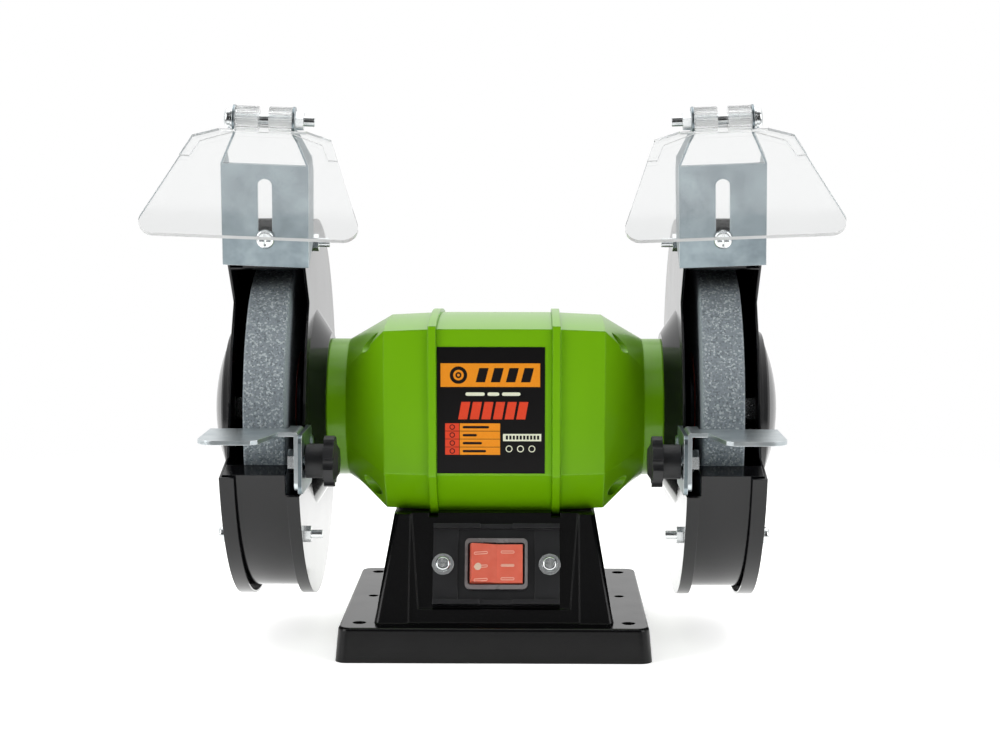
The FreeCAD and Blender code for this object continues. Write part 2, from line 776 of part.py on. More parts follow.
def rotor_core():
    return sleeve(at_axis(-core_half), X_AXIS, core_bore_r - air_gap, rotor_shaft_r + seat_gap, 2 * core_half)


def rotor_end_rings():
    outer_r = core_bore_r - air_gap - 1
    return [sleeve(at_axis(side * core_half), V(side, 0, 0), outer_r, rotor_ring_inner_r, rotor_ring_reach)
            for side in (-1, 1)]


def shaft():
    """Stepped spindle, thick in the rotor, bearing seats, arbors and chamfered ends."""
    shoulder = bearing_start
    arbor_start = wheel_start - flange_width
    half = [(shoulder, rotor_shaft_r), (shoulder, bearing_bore_r - bearing_fit),
            (arbor_start, bearing_bore_r - bearing_fit), (arbor_start, arbor_r - bearing_fit),
            (spindle_end - spindle_chamfer, arbor_r - bearing_fit), (spindle_end, arbor_r - spindle_chamfer),
            (spindle_end, 0.0)]
    return revolve_about_shaft(half + [(-x, r) for x, r in reversed(half)])


def ball_circle_r():
    return (bearing_r + bearing_bore_r) / 2


def bearing_outer():
    ring = sleeve(at_axis(bearing_start), X_AXIS, bearing_r, bearing_r - bearing_ring, bearing_width)
    middle = at_axis(bearing_start + bearing_width / 2)
    groove = Part.makeTorus(ball_circle_r(), ball_r + ball_gap, middle, X_AXIS)
    return ring.cut(groove)


def bearing_inner():
    """Inner race with its balls, which sit a running gap from both grooves."""
    ring = sleeve(at_axis(bearing_start), X_AXIS, bearing_bore_r + bearing_ring, bearing_bore_r, bearing_width)
    middle = bearing_start + bearing_width / 2
    groove = Part.makeTorus(ball_circle_r(), ball_r, at_axis(middle), X_AXIS)
    pieces = [ring.cut(groove)]
    for k in range(ball_count):
        turn = 2 * math.pi * k / ball_count
        centre = at_axis(middle, ball_circle_r() * math.cos(turn), ball_circle_r() * math.sin(turn))
        pieces.append(Part.makeSphere(ball_r - seat_gap, centre))
    return pieces


# ---------------------------------------------------------------- wheel and its clamp
def wheel():
    disc = sleeve(at_axis(wheel_start), X_AXIS, wheel_r, arbor_r + seat_gap, wheel_width)
    rims = [e for e in disc.Edges if hasattr(e.Curve, "Radius") and abs(e.Curve.Radius - wheel_r) < 0.01]
    return disc.makeChamfer(wheel_chamfer, [e for e in rims if e.Closed])


def clamping_flange(face_x, away):
    """Dished flange whose outer ring presses on the wheel at face_x; away is +1 or -1 along x."""
    body_r = flange_r
    profile = [(face_x + away * flange_relief, arbor_r + seat_gap), (face_x + away * flange_relief, flange_relief_r),
               (face_x, flange_relief_r), (face_x, body_r), (face_x + away * flange_width * 0.45, body_r),
               (face_x + away * flange_width, body_r * 0.7), (face_x + away * flange_width, arbor_r + seat_gap)]
    return revolve_about_shaft(profile)


def spindle_nut():
    start = wheel_start + wheel_width + flange_width
    nut = hexagon(at_axis(start), X_AXIS, nut_flats, nut_height)
    return nut.cut(rod(at_axis(start - 1), X_AXIS, arbor_r, nut_height + 2))


# ---------------------------------------------------------------- guard
def mouth_cut(x0, x1):
    """Everything in front of the guard's mouth edge, between x0 and x1."""
    edge = [at_axis(x0, y, z) for y, z in mouth_edge]
    front = -guard_r - mouth_reach
    top_slope = (mouth_edge[0][1] - mouth_edge[1][1]) / (mouth_edge[0][0] - mouth_edge[1][0])
    top_z = mouth_edge[0][1] + top_slope * (front - mouth_edge[0][0])
    low_slope = (mouth_edge[-1][1] - mouth_edge[-2][1]) / (mouth_edge[-1][0] - mouth_edge[-2][0])
    low_z = mouth_edge[-1][1] + low_slope * (front - mouth_edge[-1][0])
    outline = [at_axis(x0, front, top_z)] + edge + [at_axis(x0, front, low_z)]
    return prism(outline, V(x1 - x0, 0, 0))


def rest_relief():
    """Room for the tool rest's leg in the disc, its lip and the band's edge."""
    return box(guard_inner_x - 5, relief_x, -guard_r - mouth_reach, relief_y, shaft_height + relief_z,
               shaft_height + 10)


def cover_bolt_places():
    places = []
    for angle in cover_bolt_angles:
        turn = math.radians(angle)
        places.append((cover_bolt_circle_r * math.cos(turn), cover_bolt_circle_r * math.sin(turn)))
    return places


def hub_screw_places():
    places = []
    for k in range(3):
        turn = math.radians(90 + 120 * k)
        places.append((hub_screw_circle_r * math.cos(turn), hub_screw_circle_r * math.sin(turn)))
    return places


def rivet_places():
    return [(rivet_y, rest_bolt_z + side * rivet_rise) for side in (-1, 1)]


def inner_guard():
    """Motor-side disc with a turned lip and a dished hub that seats on the end bell's neck."""
    t = guard_sheet
    x = guard_inner_x
    profile = [(neck_end, hub_bore_r), (neck_end, hub_r), (x, hub_flare_r), (x, guard_r), (x + inner_lip, guard_r),
               (x + inner_lip, guard_r - t), (x + t, guard_r - t), (x + t, hub_flare_r - t),
               (neck_end + t, hub_r - t), (neck_end + t, hub_bore_r)]
    disc = revolve_about_shaft(profile)
    cuts = [mouth_cut(x - 10, x + 20), rest_relief()]
    cuts += [rod(at_axis(x - 5, y, z), X_AXIS, cover_bolt_r + hole_gap, 20) for y, z in cover_bolt_places()]
    cuts += [rod(at_axis(neck_end - 5, y, z), X_AXIS, hub_screw_r + hole_gap, 20) for y, z in hub_screw_places()]
    cuts += [rod(at_axis(x - 5, y, z), X_AXIS, rivet_r + seat_gap, 20) for y, z in rivet_places()]
    return disc.cut(cuts)


def bracket_place():
    """The right bracket's local frame: face point of its screw, lean and cant."""
    lean = FreeCAD.Rotation(X_AXIS, bracket_lean)
    cant = FreeCAD.Rotation(Y_AXIS, -bracket_cant)
    return FreeCAD.Placement(at_axis(bracket_x, bracket_face_y, bracket_screw_z), lean.multiply(cant))


def tab_place():
    """The guard's shield tab leans with the bracket but stands square to the guard."""
    return FreeCAD.Placement(at_axis(bracket_x, bracket_face_y, bracket_screw_z),
                             FreeCAD.Rotation(X_AXIS, bracket_lean))


def guard_band():
    """Rim strip between the two discs, a shelf under the wheel and the shield's tab at the top."""
    x0 = guard_inner_x + guard_sheet
    x1 = guard_outer_x - guard_sheet
    strip = sleeve(at_axis(x0), X_AXIS, band_r, band_r - guard_sheet, x1 - x0)
    strip = strip.cut(mouth_cut(x0 - 5, x1 + 5))
    low_y, low_z = mouth_edge[-1]
    in_y, in_z = mouth_edge[-2]
    run = math.hypot(in_y - low_y, in_z - low_z)
    along = V(0, (in_y - low_y) / run, (in_z - low_z) / run)
    across = V(0, along.z, -along.y)
    start_y = -math.sqrt((band_r - guard_sheet / 2) ** 2 - low_z ** 2)
    start = at_axis(x0, start_y, low_z + along.z / along.y * (start_y - low_y))
    corners = [start, start + along * shelf_length, start + along * shelf_length + across * guard_sheet,
               start + across * guard_sheet]
    shelf = prism(corners, V(x1 - x0, 0, 0))
    back = bracket_sheet + slide_gap
    half = tab_width / 2
    tab = box(-half, half, back, back + tab_sheet, -tab_below, tab_above)
    upright = [e for e in tab.Edges if abs(e.tangentAt(e.FirstParameter).y) > 0.9
               and e.CenterOfMass.z > 0]
    tab = tab.makeFillet(tab_corner_r, upright)
    foot = box(-half, half, back, tab_foot, -tab_below, -tab_below + tab_sheet)
    tab = tab.fuse(foot).cut(rod(V(0, 0, 0), Y_AXIS, bracket_screw_r + hole_gap, 10))
    return joined([strip, shelf, placed(tab, tab_place())]).cut(rest_relief())


def outer_cover():
    """Outer disc with a deep lip, pressed rings and a domed centre over the spindle nut."""
    t = guard_sheet
    x = guard_outer_x
    outside = [(x - outer_lip, guard_r), (x, guard_r)]
    inside = [(x - outer_lip, guard_r - t), (x - t, guard_r - t)]
    level = x
    for radius, rise in dome_steps:
        outside += [(level, radius), (x + rise, radius - ring_slope)]
        inside += [(level - t, radius - t / 2), (x + rise - t, radius - ring_slope - t / 2)]
        level = x + rise
    cap_r = dome_steps[-1][0] - ring_slope
    crown = dome_x - level
    sphere_r = (cap_r ** 2 + crown ** 2) / (2 * crown)
    centre = at_axis(dome_x - sphere_r)
    cap = Part.makeSphere(sphere_r, centre).cut(Part.makeSphere(sphere_r - t, centre))
    cap = cap.common(rod(at_axis(level - 2 * t), X_AXIS, cap_r, sphere_r))
    cap = cap.common(box(level - t, dome_x + 1, -cap_r, cap_r, shaft_height - cap_r, shaft_height + cap_r))
    end_r = cap_r - 2 * t
    ring = revolve_about_shaft(outside + [(level, end_r), (level - t, end_r)] + inside[::-1])
    cuts = [mouth_cut(x - 20, x + 2.5)]
    cuts += [rod(at_axis(x - 5, y, z), X_AXIS, cover_bolt_r + hole_gap, 20) for y, z in cover_bolt_places()]
    return joined([ring, cap]).cut(cuts)


def cover_bolts():
    pieces = []
    x = guard_outer_x
    for y, z in cover_bolt_places():
        washer = sleeve(at_axis(x, y, z), X_AXIS, cover_bolt_washer_r, cover_bolt_r + hole_gap, cover_bolt_washer)
        head = pan_head(at_axis(x + cover_bolt_washer, y, z), X_AXIS, cover_bolt_head_r, cover_bolt_head)
        tail_x = guard_inner_x - cover_bolt_nut - cover_bolt_tail
        shank = rod(at_axis(tail_x, y, z), X_AXIS, cover_bolt_r, x + cover_bolt_washer - tail_x)
        nut = hexagon(at_axis(guard_inner_x, y, z), -X_AXIS, cover_bolt_nut_flats, cover_bolt_nut)
        nut = nut.cut(rod(at_axis(tail_x, y, z), X_AXIS, cover_bolt_r, 20))
        pieces += [washer, joined([head, shank]), nut]
    return pieces


def guard_mount_screws():
    screws = []
    for y, z in hub_screw_places():
        seat = neck_end + guard_sheet
        head = pan_head(at_axis(seat, y, z), X_AXIS, hub_screw_head_r, hub_screw_head)
        screws.append(head.fuse(rod(at_axis(seat, y, z), -X_AXIS, hub_screw_r, hub_screw_length)))
    return screws


# ---------------------------------------------------------------- tool rest
def rest_face_x():
    """Motor-side face of the rest's leg, a sliding gap from the support plate."""
    return guard_inner_x + slide_gap


def tool_rest():
    """Bent sheet: table in front of the wheel, a neck beside it and a leg turned down at the support."""
    top = shaft_height + rest_top_z
    back_y = -math.sqrt((wheel_r + rest_gap) ** 2 - rest_top_z ** 2)
    leg_x = rest_face_x()
    front = rest_front_y
    outer = rest_outer_x
    outline = [V(leg_x, rest_neck_back_y, top), V(leg_x, rest_neck_front_y, top),
               V(rest_table_x - rest_slant, rest_neck_front_y, top),
               V(rest_table_x + rest_slant, front + rest_slant, top),
               V(rest_table_x + 2 * rest_slant, front, top), V(outer, front, top), V(outer, back_y, top),
               V(rest_neck_clear_x, back_y, top), V(rest_neck_clear_x, rest_neck_back_y, top)]
    table = prism(outline, V(0, 0, -rest_sheet))
    corner = [e for e in table.Edges if abs(e.CenterOfMass.x - outer) < 0.01
              and abs(e.CenterOfMass.y - front) < 0.01 and e.Length < rest_sheet + 0.1]
    table = table.makeFillet(rest_corner_r, corner)
    leg = box(leg_x, leg_x + rest_sheet, rest_neck_front_y, rest_neck_back_y, shaft_height + rest_leg_z, top)
    leg_corners = [e for e in leg.Edges if abs(e.tangentAt(e.FirstParameter).x) > 0.9
                   and e.CenterOfMass.z < shaft_height + rest_leg_z + 1]
    leg = leg.makeFillet(rest_leg_corner_r, leg_corners)
    rest = joined([table, leg])
    bend = [e for e in rest.Edges if abs(e.CenterOfMass.x - leg_x) < 0.01 and abs(e.CenterOfMass.z - top) < 0.01
            and e.Length > 10]
    rest = rest.makeFillet(rest_sheet * 0.9, bend)
    hole = rod(at_axis(leg_x - 5, rest_bolt_y, rest_bolt_z), X_AXIS, rest_bolt_r + seat_gap, 20)
    return rest.cut(hole)


def rest_bolt():
    seat = rest_face_x() + rest_sheet
    head = hexagon(at_axis(seat, rest_bolt_y, rest_bolt_z), X_AXIS, rest_bolt_flats, rest_bolt_head)
    tip = knob_head_x + 3
    return head.fuse(rod(at_axis(tip, rest_bolt_y, rest_bolt_z), X_AXIS, rest_bolt_r, seat - tip))


def tool_rest_support():
    """Slotted plate riveted to the motor side of the guard disc."""
    x0 = guard_inner_x - support_sheet
    plate = box(x0, guard_inner_x, support_front_y, support_back_y, shaft_height + support_bottom_z,
                shaft_height + support_top_z)
    upright = [e for e in plate.Edges if abs(e.tangentAt(e.FirstParameter).x) > 0.9]
    plate = plate.makeFillet(support_corner_r, upright)
    slot_half = rest_bolt_r + hole_gap
    slot_front = rest_bolt_y - rest_slide_out - hole_gap
    slot_back = rest_bolt_y + rest_slide_in + hole_gap
    slot = box(x0 - 1, guard_inner_x + 1, slot_front, slot_back, shaft_height + rest_bolt_z - slot_half,
               shaft_height + rest_bolt_z + slot_half)
    ends = [rod(at_axis(x0 - 1, y, rest_bolt_z), X_AXIS, slot_half, support_sheet + 2)
            for y in (slot_front, slot_back)]
    holes = [rod(at_axis(x0 - 1, y, z), X_AXIS, rivet_r + seat_gap, 5) for y, z in rivet_places()]
    pieces = [plate.cut([slot] + ends + holes)]
    grip = support_sheet + guard_sheet
    for y, z in rivet_places():
        shank = rod(at_axis(x0, y, z), X_AXIS, rivet_r, grip)
        near = Part.makeCone(rivet_head_r, rivet_head_r * 0.6, rivet_head, at_axis(x0, y, z), -X_AXIS)
        far = Part.makeCone(rivet_head_r, rivet_head_r * 0.6, rivet_head, at_axis(x0 + grip, y, z), X_AXIS)
        pieces.append(joined([shank, near, far]))
    return pieces


def rest_knob():
    """Round stem and a fluted head, tapped for the rest's bolt."""
    face = guard_inner_x - support_sheet - knob_gap
    stem = rod(at_axis(knob_stem_end, rest_bolt_y, rest_bolt_z), X_AXIS, knob_stem_r, face - knob_stem_end)
    head = rod(at_axis(knob_head_x, rest_bolt_y, rest_bolt_z), X_AXIS, knob_head_r, knob_stem_end - knob_head_x)
    flutes = []
    for k in range(knob_lobes):
        turn = 2 * math.pi * (k + 0.5) / knob_lobes
        centre = at_axis(knob_head_x - 1, rest_bolt_y + knob_head_r * math.cos(turn),
                         rest_bolt_z + knob_head_r * math.sin(turn))
        flutes.append(rod(centre, X_AXIS, knob_flute_r, knob_stem_end - knob_head_x + 2))
    head = head.cut(flutes)
    crown = Part.makeCone(knob_head_r * 0.75, knob_head_r * 0.5, knob_crown,
                          at_axis(knob_head_x, rest_bolt_y, rest_bolt_z), -X_AXIS)
    bore = rod(at_axis(knob_head_x + 2, rest_bolt_y, rest_bolt_z), X_AXIS, rest_bolt_r + 0.05, 30)
    return joined([stem, head, crown]).cut(bore)


# ---------------------------------------------------------------- eye shield and its bracket
def shield_bracket():
    """Channel with a slotted face, deep flanges and arms that close in to the hinge eyes."""
    half = bracket_width / 2
    t = bracket_sheet
    arm = arm_gap / 2
    face = box(-half, half, 0, t, -bracket_below, bracket_above)
    slot = box(-slot_r, slot_r, -1, t + 1, 0, slot_run)
    slot = slot.multiFuse([rod(V(0, -1, z), Y_AXIS, slot_r, t + 2) for z in (0, slot_run)])
    pieces = [face.cut(slot)]
    eye_back = hinge_y + eye_r
    side_outline = [V(0, 0, -bracket_below), V(0, bracket_flange, -bracket_below + bracket_flange_cut),
                    V(0, bracket_flange, bracket_above - 10), V(0, arm_depth, bracket_above + 2),
                    V(0, 0, bracket_above + 2)]
    arm_outline = [V(0, 0, bracket_above), V(0, arm_depth, bracket_above), V(0, eye_back, arm_bend_z),
                   V(0, eye_back, hinge_z), V(0, hinge_y - eye_r, hinge_z),
                   V(0, hinge_y - eye_r + 1, hinge_z - eye_r / 2), V(0, 0, arm_bend_z - 4)]
    for side in (-1, 1):
        flange = prism([p + V(side * half, 0, 0) for p in side_outline], V(-side * t, 0, 0))
        flange = flange.common(box(-half, half, -1, bracket_flange, -bracket_below, bracket_above))
        slant = [V(side * half, -20, bracket_above), V(side * (arm + t), -20, arm_bend_z),
                 V(side * (arm + t), -20, hinge_z + 20), V(side * arm, -20, hinge_z + 20),
                 V(side * arm, -20, arm_bend_z), V(side * (half - t), -20, bracket_above)]
        web = prism(slant, V(0, 60, 0))
        profile = prism([p + V(-60, 0, 0) for p in arm_outline], V(120, 0, 0))
        eye = rod(V(-60, hinge_y, hinge_z), X_AXIS, eye_r, 120)
        pieces += [flange, web.common(joined([profile, eye]))]
    bracket = joined(pieces)
    bracket = bracket.cut(rod(V(-60, hinge_y, hinge_z), X_AXIS, hinge_bolt_r + seat_gap, 120))
    return placed(bracket, bracket_place())


def bracket_screw():
    """Pan head and washer on the bracket's face, nut behind the guard's tab."""
    head_y = -slide_gap
    back = bracket_sheet + slide_gap + tab_sheet
    head = pan_head(V(0, head_y, 0), -Y_AXIS, bracket_screw_head_r, bracket_screw_head)
    shank = rod(V(0, head_y, 0), Y_AXIS, bracket_screw_r, back + bracket_nut + 3 - head_y)
    nut = hexagon(V(0, back, 0), Y_AXIS, bracket_nut_flats, bracket_nut)
    nut = nut.cut(rod(V(0, 0, 0), Y_AXIS, bracket_screw_r, 20))
    return [placed(head.fuse(shank), bracket_place()), placed(nut, bracket_place())]


def hinge_bolt():
    """Bolt through both eyes and the shield's tubes, head outside, nut and spare thread inside."""
    eye = arm_gap / 2 + bracket_sheet
    start = eye + hinge_washer
    tail = -eye - hinge_nut - hinge_tail
    head = pan_head(V(start, hinge_y, hinge_z), X_AXIS, hinge_head_r, hinge_head)
    shank = rod(V(tail, hinge_y, hinge_z), X_AXIS, hinge_bolt_r, start - tail)
    washer = sleeve(V(eye, hinge_y, hinge_z), X_AXIS, hinge_washer_r, hinge_bolt_r + seat_gap, hinge_washer)
    nut = hexagon(V(-eye, hinge_y, hinge_z), -X_AXIS, hinge_nut_flats, hinge_nut)
    nut = nut.cut(rod(V(tail, hinge_y, hinge_z), X_AXIS, hinge_bolt_r + seat_gap, 20))
    return [placed(piece, bracket_place()) for piece in (joined([head, shank]), washer, nut)]


def shield_place():
    """Frame on the hinge axis, its -z along the shield as it hangs."""
    swing = FreeCAD.Placement(V(0, hinge_y, hinge_z), FreeCAD.Rotation(X_AXIS, -(shield_hang + bracket_lean)))
    return bracket_place().multiply(swing)


def shield_outline(inset):
    """Corner points of the shield's face in y = 0, moved inwards by inset."""
    half_low = shield_bottom_width / 2 - inset
    shift = shield_bottom_shift
    half_top = shield_top_width / 2 - inset
    half_neck = shield_neck_width / 2
    low = -shield_length + inset
    top = -shield_top - inset * 0.8
    neck = -shield_neck - inset
    return [V(shift + half_low, 0, low), V(half_top, 0, top), V(half_neck, 0, neck),
            V(-half_neck, 0, neck), V(-half_top, 0, top), V(shift - half_low, 0, low)]


def eye_shield():
    """Clear sheet with a raised border near its top, and two ribbed tubes round the hinge bolt."""
    half = shield_sheet / 2
    sheet = prism([p + V(0, -half, 0) for p in shield_outline(0.0)], V(0, shield_sheet, 0))
    low_corners = [e for e in sheet.Edges if abs(e.tangentAt(e.FirstParameter).y) > 0.9
                   and e.CenterOfMass.z < -shield_length + 1]
    sheet = sheet.makeFillet(shield_corner_r, low_corners)
    proud = half + shield_border_proud
    border = prism([p + V(0, -proud, 0) for p in shield_outline(0.0)], V(0, half, 0))
    border = border.cut(prism([p + V(0, -proud - 1, 0) for p in shield_outline(shield_border)], V(0, 9, 0)))
    border = border.common(box(-99, 99, -9, 9, -shield_border_run, 9))
    pieces = [sheet, border]
    cuts = [rod(V(-60, 0, 0), X_AXIS, hinge_bolt_r + turn_gap, 120)]
    for side in (-1, 1):
        start = V(side * tube_gap / 2, 0, 0)
        pieces.append(rod(start, V(side, 0, 0), tube_r, tube_length))
        inner = min(side * tube_gap / 2, side * (tube_gap / 2 + tube_length))
        pieces.append(box(inner, inner + tube_length, -half, half, -shield_neck - 3, 0))
        for k in range(tube_ribs):
            turn = 2 * math.pi * (k + 0.5) / tube_ribs
            if abs(turn - 1.5 * math.pi) > math.pi / tube_ribs:
                groove = V(inner - 1, tube_r * math.cos(turn), tube_r * math.sin(turn))
                cuts.append(rod(groove, X_AXIS, tube_groove_r, tube_length + 2))
    shield = joined(pieces).cut(cuts)
    room_x = tube_gap / 2 + tube_length
    for side in (-1, 1):
        low = min(side * room_x, side * (room_x + eye_room_width))
        shield = shield.cut(rod(V(low, 0, 0), X_AXIS, eye_r + eye_room, eye_room_width))
    return placed(shield.removeSplitter(), shield_place())


# ---------------------------------------------------------------- small pieces
def capacitor():
    floor = cover_recess + cover_sheet
    can = rod(V(-capacitor_length / 2, capacitor_y, floor + capacitor_r), X_AXIS, capacitor_r, capacitor_length)
    rims = [e for e in can.Edges if e.Closed and abs(e.CenterOfMass.x) > capacitor_length / 2 - 1]
    return can.makeFillet(capacitor_edge_r, rims)


def terminal_block():
    length, depth, height = terminal_size
    floor = cover_recess + cover_sheet
    block = box(-length / 2, length / 2, terminal_y - depth / 2, terminal_y + depth / 2, floor, floor + height)
    wells = []
    for k in range(terminal_ways):
        x = (k - (terminal_ways - 1) / 2) * length / terminal_ways
        wells.append(rod(V(x, terminal_y, floor + height / 2), Z_AXIS, terminal_screw_r, height))
        wells.append(rod(V(x, terminal_y - depth, floor + height / 2 - 1), Y_AXIS, terminal_wire_r, 2 * depth))
    return block.cut(wells)


def cable_gland():
    """Threaded sleeve in the pedestal's boss with a hexagon and a tapered nose."""
    seat = V(0, gland_boss_y, gland_z)
    thread = rod(V(0, gland_boss_y - gland_thread, gland_z), Y_AXIS, gland_thread_r, gland_thread)
    flats = hexagon(seat, Y_AXIS, gland_hex_flats, gland_hex)
    nose = Part.makeCone(gland_thread_r, gland_nose_r, gland_nose, seat + V(0, gland_hex, 0), Y_AXIS)
    bore = rod(V(0, gland_boss_y - gland_thread - 3, gland_z), Y_AXIS, gland_bore_r, 60)
    return joined([thread, flats, nose]).cut(bore)


def rating_label():
    half_x = label_width / 2
    return box(label_x - half_x, label_x + half_x, -housing_half_depth - label_sheet, -housing_half_depth,
               shaft_height + label_z - label_height / 2, shaft_height + label_z + label_height / 2)


# ---------------------------------------------------------------- write the nodes
os.makedirs(OUT_DIR, exist_ok=True)

single_nodes = {
    "base_casting": [base_casting()],
    "bottom_cover": [bottom_cover()],
    "bottom_cover_screws": bottom_cover_screws(),
    "motor_mount_bolts": motor_mount_bolts(),
    "switch_plate": [switch_plate()],
    "switch_plate_screws": switch_plate_screws(),
    "switch_housing": switch_housing(),
    "switch_boot": [switch_boot()],
    "switch_rocker": [switch_rocker()],
    "stator_shell": [stator_shell()],
    "tie_bolts": tie_bolts(),
    "stator_core": [stator_core()],
    "stator_windings": stator_windings(),
    "rotor_core": [rotor_core()],
    "rotor_end_rings": rotor_end_rings(),
    "shaft": [shaft()],
    "capacitor": [capacitor()],
    "terminal_block": [terminal_block()],
    "cable_gland": [cable_gland()],
    "rating_label": [rating_label()],
}

sided_nodes = {
    "end_bell": [end_bell()],
    "bearing_outer": [bearing_outer()],
    "bearing_inner": bearing_inner(),
    "wheel": [wheel()],
    "inner_flange": [clamping_flange(wheel_start, -1)],
    "outer_flange": [clamping_flange(wheel_start + wheel_width, 1)],
    "spindle_nut": [spindle_nut()],
    "inner_guard": [inner_guard()],
    "guard_band": [guard_band()],
    "outer_cover": [outer_cover()],
    "cover_bolts": cover_bolts(),
    "guard_mount_screws": guard_mount_screws(),
    "tool_rest_support": tool_rest_support(),
    "tool_rest": [tool_rest()],
    "rest_bolt": [rest_bolt()],
    "rest_knob": [rest_knob()],
    "shield_bracket": [shield_bracket()],
    "bracket_screw": bracket_screw(),
    "hinge_bolt": hinge_bolt(),
    "eye_shield": [eye_shield()],
}

for name, solids in single_nodes.items():
    save(name, solids)

for name, solids in sided_nodes.items():
    save("right_" + name, solids)
    save("left_" + name, [mirrored(solid) for solid in solids])

print("nodes:", len(single_nodes) + 2 * len(sided_nodes))
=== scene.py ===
# %% [markdown]
# # A bench grinder, finished
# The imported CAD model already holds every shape, size and joint. This notebook gives it the rest: a camera,
# soft studio light, and a finish for each piece that starts from what the real surface is made of. Positions
# come from the model itself, so nothing here has to be fitted by eye.

import math

import bmesh
import bpy
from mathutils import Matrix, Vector


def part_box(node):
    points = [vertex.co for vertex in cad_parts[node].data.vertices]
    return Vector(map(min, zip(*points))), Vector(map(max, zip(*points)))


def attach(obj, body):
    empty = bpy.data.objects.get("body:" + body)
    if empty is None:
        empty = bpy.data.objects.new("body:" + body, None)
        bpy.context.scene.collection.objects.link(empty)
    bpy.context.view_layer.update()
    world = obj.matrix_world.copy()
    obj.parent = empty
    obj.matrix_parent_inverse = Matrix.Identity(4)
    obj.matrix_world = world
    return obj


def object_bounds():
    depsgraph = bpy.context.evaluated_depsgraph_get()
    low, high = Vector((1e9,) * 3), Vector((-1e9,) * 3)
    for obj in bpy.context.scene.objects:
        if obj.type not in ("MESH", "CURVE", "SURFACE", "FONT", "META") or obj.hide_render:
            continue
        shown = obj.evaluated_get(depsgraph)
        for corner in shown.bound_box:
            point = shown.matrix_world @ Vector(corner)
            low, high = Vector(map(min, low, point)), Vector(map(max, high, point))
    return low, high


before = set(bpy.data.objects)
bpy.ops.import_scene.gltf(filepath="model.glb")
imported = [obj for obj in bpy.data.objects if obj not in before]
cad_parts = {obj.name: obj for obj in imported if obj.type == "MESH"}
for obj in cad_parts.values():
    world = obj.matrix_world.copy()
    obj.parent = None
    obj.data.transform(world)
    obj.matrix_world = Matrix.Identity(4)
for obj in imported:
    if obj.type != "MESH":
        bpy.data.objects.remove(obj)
cad_low, cad_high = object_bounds()
shaft_low, shaft_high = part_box("shaft")
shaft_height = (shaft_low.z + shaft_high.z) / 2
print("nodes", len(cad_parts), "shaft height", round(shaft_height * 1000, 1), "mm")

# %% [markdown]
# ## Small helpers
# Paint makers and web colours are written in sRGB, but shaders work in linear light, so one function turns a hex
# colour into the linear value that a socket wants. A shader tree is a list of nodes and the links between them,
# so one more function adds any node with its settings and its links, and three short ones make the nodes that
# nearly every finish has: a noise, a blend of two tones and a span of values. Sizes of patterns are real
# millimetres: a noise or cell texture has a scale of features per metre, which is a thousand divided by the
# feature's size.

# %% Helpers
MM = 0.001


def colour(hex_code):
    """The linear RGBA of an sRGB hex colour such as #7CBC02."""
    levels = [int(hex_code[i:i + 2], 16) / 255 for i in (1, 3, 5)]
    return [v / 12.92 if v <= 0.04045 else ((v + 0.055) / 1.055) ** 2.4 for v in levels] + [1.0]


def per_metre(size):
    """Texture scale for a pattern whose features are this many millimetres across."""
    return 1000 / size


def add(tree, kind, settings=(), links=()):
    """Adds a node. Settings go to its sockets or its own options, and links come from other nodes' sockets."""
    node = tree.nodes.new("ShaderNode" + kind)
    for name, value in dict(settings).items():
        if isinstance(name, int) or name in node.inputs:
            node.inputs[name].default_value = value
        else:
            setattr(node, name, value)
    for name, source in dict(links).items():
        tree.links.new(source, node.inputs[name])
    return node


def noise(tree, size, detail, place):
    """A cloudy pattern whose features are this many millimetres across."""
    return add(tree, "TexNoise", {"Scale": per_metre(size), "Detail": detail}, {"Vector": place})


def blend(tree, dark, light, share):
    """A tone between two hex colours, chosen by a socket that runs from 0 to 1."""
    return add(tree, "Mix", {"data_type": "RGBA", 6: colour(dark), 7: colour(light)}, {0: share})


def span(tree, low, high, share):
    """Turns a socket that runs from 0 to 1 into a value from low to high."""
    return add(tree, "MapRange", {"To Min": low, "To Max": high}, {"Value": share})


def blank(name):
    """A new material with an empty shader tree."""
    made = bpy.data.materials.new(name)
    made.use_nodes = True
    made.node_tree.nodes.clear()
    return made


# %% [markdown]
# ## The camera
# The machine is seen from the front, a little above the shaft, from about a metre away with a long lens. A long
# lens keeps the two wheels nearly parallel, and standing slightly right of the middle shows more of one side of
# each guard. The height is measured from the shaft, so the view follows the model if its size changes.

# %% Camera
camera_side = 18.5 * MM
camera_distance = 1050 * MM
camera_above_shaft = 121.6 * MM
camera_pitch = 0.10
camera_yaw = 0.0157
sensor_width = 36.0
lens_length = 73.66

camera_data = bpy.data.cameras.new("camera")
camera_data.sensor_width = sensor_width
camera_data.lens = lens_length
camera_data.clip_start = 10 * MM
camera = bpy.data.objects.new("camera", camera_data)
camera.location = (camera_side, -camera_distance, shaft_height + camera_above_shaft)
camera.rotation_euler = (math.pi / 2 - camera_pitch, 0.0, camera_yaw)
bpy.context.scene.collection.objects.link(camera)
bpy.context.scene.camera = camera
print("camera at", [round(v, 3) for v in camera.location])

# %% [markdown]
# ## The studio
# Gloss paint shows its surroundings, so the room matters as much as the lamps. A product studio is a white sweep
# with large soft boxes above and beside the object, and a dark room behind the camera. That dark side is what
# keeps black paint black and green paint saturated where they face the viewer, while surfaces that look up, down
# or back mirror something white. The sky here is a gradient from dark at the front to white at the back, and the
# camera itself sees plain white behind the object, also through a clear shield. One narrow white card hangs above
# the camera: steep faces that lean back a little, such as the shield brackets, pick it up as a soft light band.

# %% World
darkest_y = -0.75
whitest_y = 0.35
front_light = 0.03
back_light = 1.0

